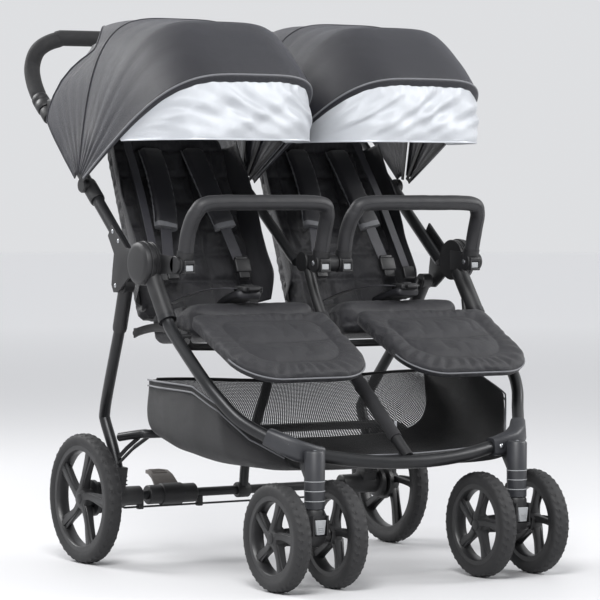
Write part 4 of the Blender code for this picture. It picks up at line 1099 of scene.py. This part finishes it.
# ---------------------------------------------------------------------------- seats
# Each seat has a fixed base and a quilted back that reclines, with puffed squares
# gathered along their seams and plain cloth wings at the sides.
BASE_PLANE = tilted(0.1675, -0.026, 0.472, -7)
base_outline = rounded([(-0.134, -0.086), (0.134, -0.086), (0.134, 0.084), (-0.134, 0.084)], [0.02] * 4)
base_seams = [[(-0.12, 0.03), (0.12, 0.03)], [(-0.12, -0.03), (0.12, -0.03)]]
divided(pair("seat_cushion", quilted(base_outline, 0.062, base_seams, BASE_PLANE), cloth_finish, "root",
             ["seat_base_{}"], 180))
BACK_PLANE = tilted(0.170, 0.092, 0.476, 67)
back_outline = rounded([(-0.133, 0.002), (0.133, 0.002), (0.125, 0.412), (-0.125, 0.412)], [0.02, 0.02, 0.06, 0.06])
columns = [[(x, 0.02), (x, 0.352)] for x in (-0.096, -0.034, 0.034, 0.096)]
rows = [[(-0.118, y), (0.118, y)] for y in (0.075, 0.130, 0.185, 0.240, 0.296, 0.352)]


def back_ripple(at, to_rim, to_seam):
    near = math.exp(-to_seam / 0.010)
    gather = near * math.sin(at.x * 560 + 3 * math.sin(at.y * 40))
    return 0.0012 * gather + 0.0015 * noise.noise(Vector((at.x * 35, at.y * 35, 5)))


divided(pair("seat_back_pad", quilted(back_outline, 0.036, columns + rows, BACK_PLANE, 0.05, 0.007, 0.016, back_ripple),
             cloth_finish, "seat_back_{}", ["seat_back_{}"], 180))
WING_FLAT = (0.075, 0.36)
for inward in (-1, 1):
    def wing_point(u, v, inward=inward):
        along = 0.03 + 0.33 * v
        out = 0.129 - 0.006 * v + 0.020 * math.sin(math.pi * u / 2)
        deep = 0.004 + 0.062 * u * (1 - 0.35 * v) * ease(0.0, 0.25, v + 0.1)
        fold = 0.003 * math.sin(9 * v + 2 * u) + 0.002 * noise.noise(Vector((u * 3, v * 7, inward)))
        return BACK_PLANE @ Vector((inward * (out + fold * u), along, deep))
    place = "inner" if inward < 0 else "outer"
    wings = pair(f"seat_wing_{place}", sheet(14, 60, wing_point, WING_FLAT, 0.0016, 1), cloth_finish,
                 "seat_back_{}", crease=180)
    for wing in wings:
        side = wing.name.rsplit("_", 1)[1]

# -------------------------------------------------------------------------- harness
# Two plump shoulder pads with pale piping hang over each back on webbing, down to side
# buckles; a crotch strap with its own pad and a centre buckle lies on the seat.
UP = BACK_PLANE.to_3x3() @ Vector((0, 0, 1))
bm = trim = straps = clips = None
for way in (-1, 1):
    line = smooth([(way * 0.048, 0.350, 0.020), (way * 0.050, 0.300, 0.034), (way * 0.056, 0.235, 0.046),
                   (way * 0.066, 0.175, 0.052)], 8)
    path = [BACK_PLANE @ p for p in line]
    plump = [0.80] + [0.97 + 0.04 * math.sin(3 * i) for i in range(len(path) - 2)] + [0.86]
    bm = swept(path, slab(0.050, 0.020, 0.0095, 6), plump, UP, bm)
    for edge in (-0.0246, 0.0246):
        trim = swept([BACK_PLANE @ (p + Vector((edge, 0, 0.001))) for p in line], ring(0.0013, 8), bm=trim)
    cuff = [BACK_PLANE @ Vector((way * 0.0652, 0.180, 0.052)), BACK_PLANE @ Vector((way * 0.067, 0.170, 0.0528))]
    trim = swept(cuff, slab(0.047, 0.0190, 0.009, 4), up=UP, bm=trim)
    tail = smooth([(way * 0.066, 0.178, 0.052), (way * 0.072, 0.140, 0.054), (way * 0.078, 0.105, 0.056),
                   (way * 0.080, 0.075, 0.062)], 6)
    straps = swept([BACK_PLANE @ p for p in tail], slab(0.024, 0.0018, 0.0008, 1), up=UP, bm=straps)
    buckle = block((-0.017, -0.014, -0.005), (0.017, 0.014, 0.006), 0.003)
    buckle = block((-0.012, -0.026, -0.003), (0.012, -0.012, 0.004), 0.002, bm=buckle)
    buckle = block((-0.0135, 0.013, -0.003), (0.0135, 0.019, 0.0045), 0.0015, bm=buckle)
    bmesh.ops.transform(buckle, matrix=BACK_PLANE @ Matrix.Translation((way * 0.080, 0.086, 0.062)), verts=buckle.verts)
    clips = joined(clips, buckle)
recline_strap = [BACK_PLANE @ Vector(p) for p in ((0.098, 0.368, 0.026), (0.106, 0.240, 0.052), (0.113, 0.130, 0.066),
                                                  (0.116, 0.060, 0.076))]
straps = swept(smooth(recline_strap, 8), slab(0.017, 0.0018, 0.0008, 1), up=UP, bm=straps)
buckle = block((-0.013, -0.012, -0.004), (0.013, 0.012, 0.005), 0.002)
bmesh.ops.transform(buckle, matrix=BACK_PLANE @ Matrix.Translation((0.116, 0.062, 0.077)), verts=buckle.verts)
clips = joined(clips, buckle)
for made in pair("shoulder_pads", creased(bm, 0.0016, 60, 4), cloth_finish, "seat_back_{}",
                 crease=70):
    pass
pair("shoulder_piping", trim, piping_finish, "seat_back_{}")
pair("harness_straps", straps, band_finish, "seat_back_{}")
pair("harness_buckles", clips, plastic_finish, "seat_back_{}")
line = smooth([(0.176, -0.020, 0.508), (0.178, -0.050, 0.519), (0.180, -0.082, 0.527), (0.182, -0.112, 0.530)], 6)
pad_sizes = [0.8] + [1.0] * (len(line) - 2) + [0.85]
bm = swept(line, slab(0.052, 0.016, 0.0075, 5), pad_sizes, (0, 0, 1))
for made in pair("crotch_pad", bm, cloth_finish, "root", crease=70):
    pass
bm = None
for edge in (-0.019, 0.019):
    bm = swept([p + Vector((edge, 0, 0.0062)) for p in line[1:-1]], ring(0.0013, 8), bm=bm)
pair("crotch_piping", bm, piping_finish, "root")
bm = block((0.160, -0.118, 0.534), (0.200, -0.080, 0.546), 0.004)
bm = block((0.168, -0.128, 0.537), (0.192, -0.115, 0.544), 0.002, bm=bm)
bm = block((0.171, -0.108, 0.5455), (0.189, -0.090, 0.5480), 0.001, bm=bm)
pair("centre_buckle", bm, plastic_finish, "root")
bm = None
for points in ([(0.085, 0.040, 0.510), (0.105, -0.010, 0.530), (0.135, -0.060, 0.541), (0.163, -0.095, 0.541)],
               [(0.265, 0.040, 0.510), (0.250, -0.010, 0.528), (0.228, -0.060, 0.540), (0.197, -0.095, 0.541)]):
    bm = swept(smooth(points, 8), slab(0.022, 0.0018, 0.0008, 1), up=(0, 0, 1), bm=bm)
pair("waist_straps", bm, band_finish, "root")

# --------------------------------------------------------------------------- basket
# One wide basket hangs below both seats: black cloth, a sagging floor, sides that rise
# to the side tubes, a dropped front lip, and an open net at the rear.
TUB = ((-0.342, 0.245, 0.2145, 0.250), (-0.285, 0.290, 0.209, 0.282), (-0.235, 0.318, 0.209, 0.332),
       (-0.150, 0.330, 0.212, 0.362), (-0.040, 0.330, 0.222, 0.366), (0.034, 0.322, 0.240, 0.366))
TUB_FLAT = (0.95, 0.40)
basket_finish = woven("basket cloth", (0.0070, 0.0070, 0.0085), 0.6, 0.0011, 0.0003, 0.2, sheen_weight=0.05)


def tub_point(u, v):
    y = TUB[0][0] + (TUB[-1][0] - TUB[0][0]) * v
    half, low, high = (between([(row[0], row[k]) for row in TUB], y) for k in (1, 2, 3))
    around = math.pi * (1 - u)
    c, s = math.cos(around), math.sin(around)
    stretch = (abs(c) ** 6 + s**6) ** (-1 / 6)
    x = half * stretch * c
    z = high - (high - low) * stretch * s
    sag = math.sin(math.pi * v) * math.sin(math.pi * u)
    z -= 0.006 * sag * (0.6 + 0.4 * math.cos(4 * math.pi * u))
    side = abs(c) ** 4
    fold = 0.004 * side * math.sin(14 * v + 5 * s) + 0.003 * noise.noise(Vector((x * 12, y * 14, z * 12)))
    lip = -0.010 * ease(0.12, 0, v) * s
    return Vector((x - math.copysign(1, c) * fold * side, y + lip, z + 0.5 * fold * (1 - side)))


tub = piece("basket_tub", sheet(150, 60, tub_point, TUB_FLAT, 0.0018, 2), basket_finish, "root", ["basket"],
            180)
NET_PITCH = 0.0032
net_finish = finish_of("basket net", (0.02, 0.02, 0.022), 0.6)
at = node(net_finish, "UVMap", uv_map="weave").outputs["UV"]
holes = []
for way in ("X", "Y"):
    wave = node(net_finish, "TexWave", {"Vector": at, "Scale": BANDS / NET_PITCH}, bands_direction=way)
    holes.append(wave.outputs["Fac"])
thread = node(net_finish, "Math", {0: holes[0], 1: holes[1]}, operation="MAXIMUM").outputs["Value"]
solid = node(net_finish, "MapRange", {"Value": thread, "From Min": 0.55, "From Max": 0.75}).outputs["Result"]
connect(net_finish, solid, "Alpha")
mottle(net_finish, (0.02, 0.02, 0.022), 30, 0.2)


def net_point(u, v):
    low = tub_point(u, 1)
    high = Vector((-0.300 + 0.600 * u, 0.036, 0.366 - 0.010 * math.sin(math.pi * u) ** 2))
    point = low.lerp(high, v)
    point.y += 0.006 * math.sin(math.pi * v) * math.sin(math.pi * u)
    return point


net = piece("basket_net", sheet(120, 24, net_point, (0.62, 0.14), 0.0012), net_finish, "root",
            crease=180)


def lip_point(u, v):
    low = tub_point(0.04 + 0.92 * u, 0)
    across = abs(2 * u - 1)
    high = Vector((0.245 * (2 * u - 1), -0.350 + 0.006 * across, 0.236 + 0.012 * across**2))
    return low.lerp(high, v)


lip = piece("basket_lip", sheet(120, 8, lip_point, (0.50, 0.03), 0.0016), basket_finish, "root",
            crease=180)
bm = None
for shift in (0.0, 0.011):
    line = [tub_point(0, i / 60) + Vector((-0.0022, 0, -shift)) for i in range(61)]
    bm = swept(line, ring(0.0017, 10), bm=bm)
other = bm.copy()
bmesh.ops.transform(other, matrix=FLIP, verts=other.verts)
piece("basket_piping_right", bm, piping_finish, "root")
piece("basket_piping_left", other, piping_finish, "root")
lip_line = [lip_point(i / 80, 1) for i in range(81)]
piece("basket_lip_piping", swept(lip_line, ring(0.0017, 10)), piping_finish, "root")
top_line = [net_point(i / 60, 1) for i in range(61)]
piece("basket_rear_hem", swept(top_line, ring(0.0022, 10, 1.8)), basket_finish, "root")
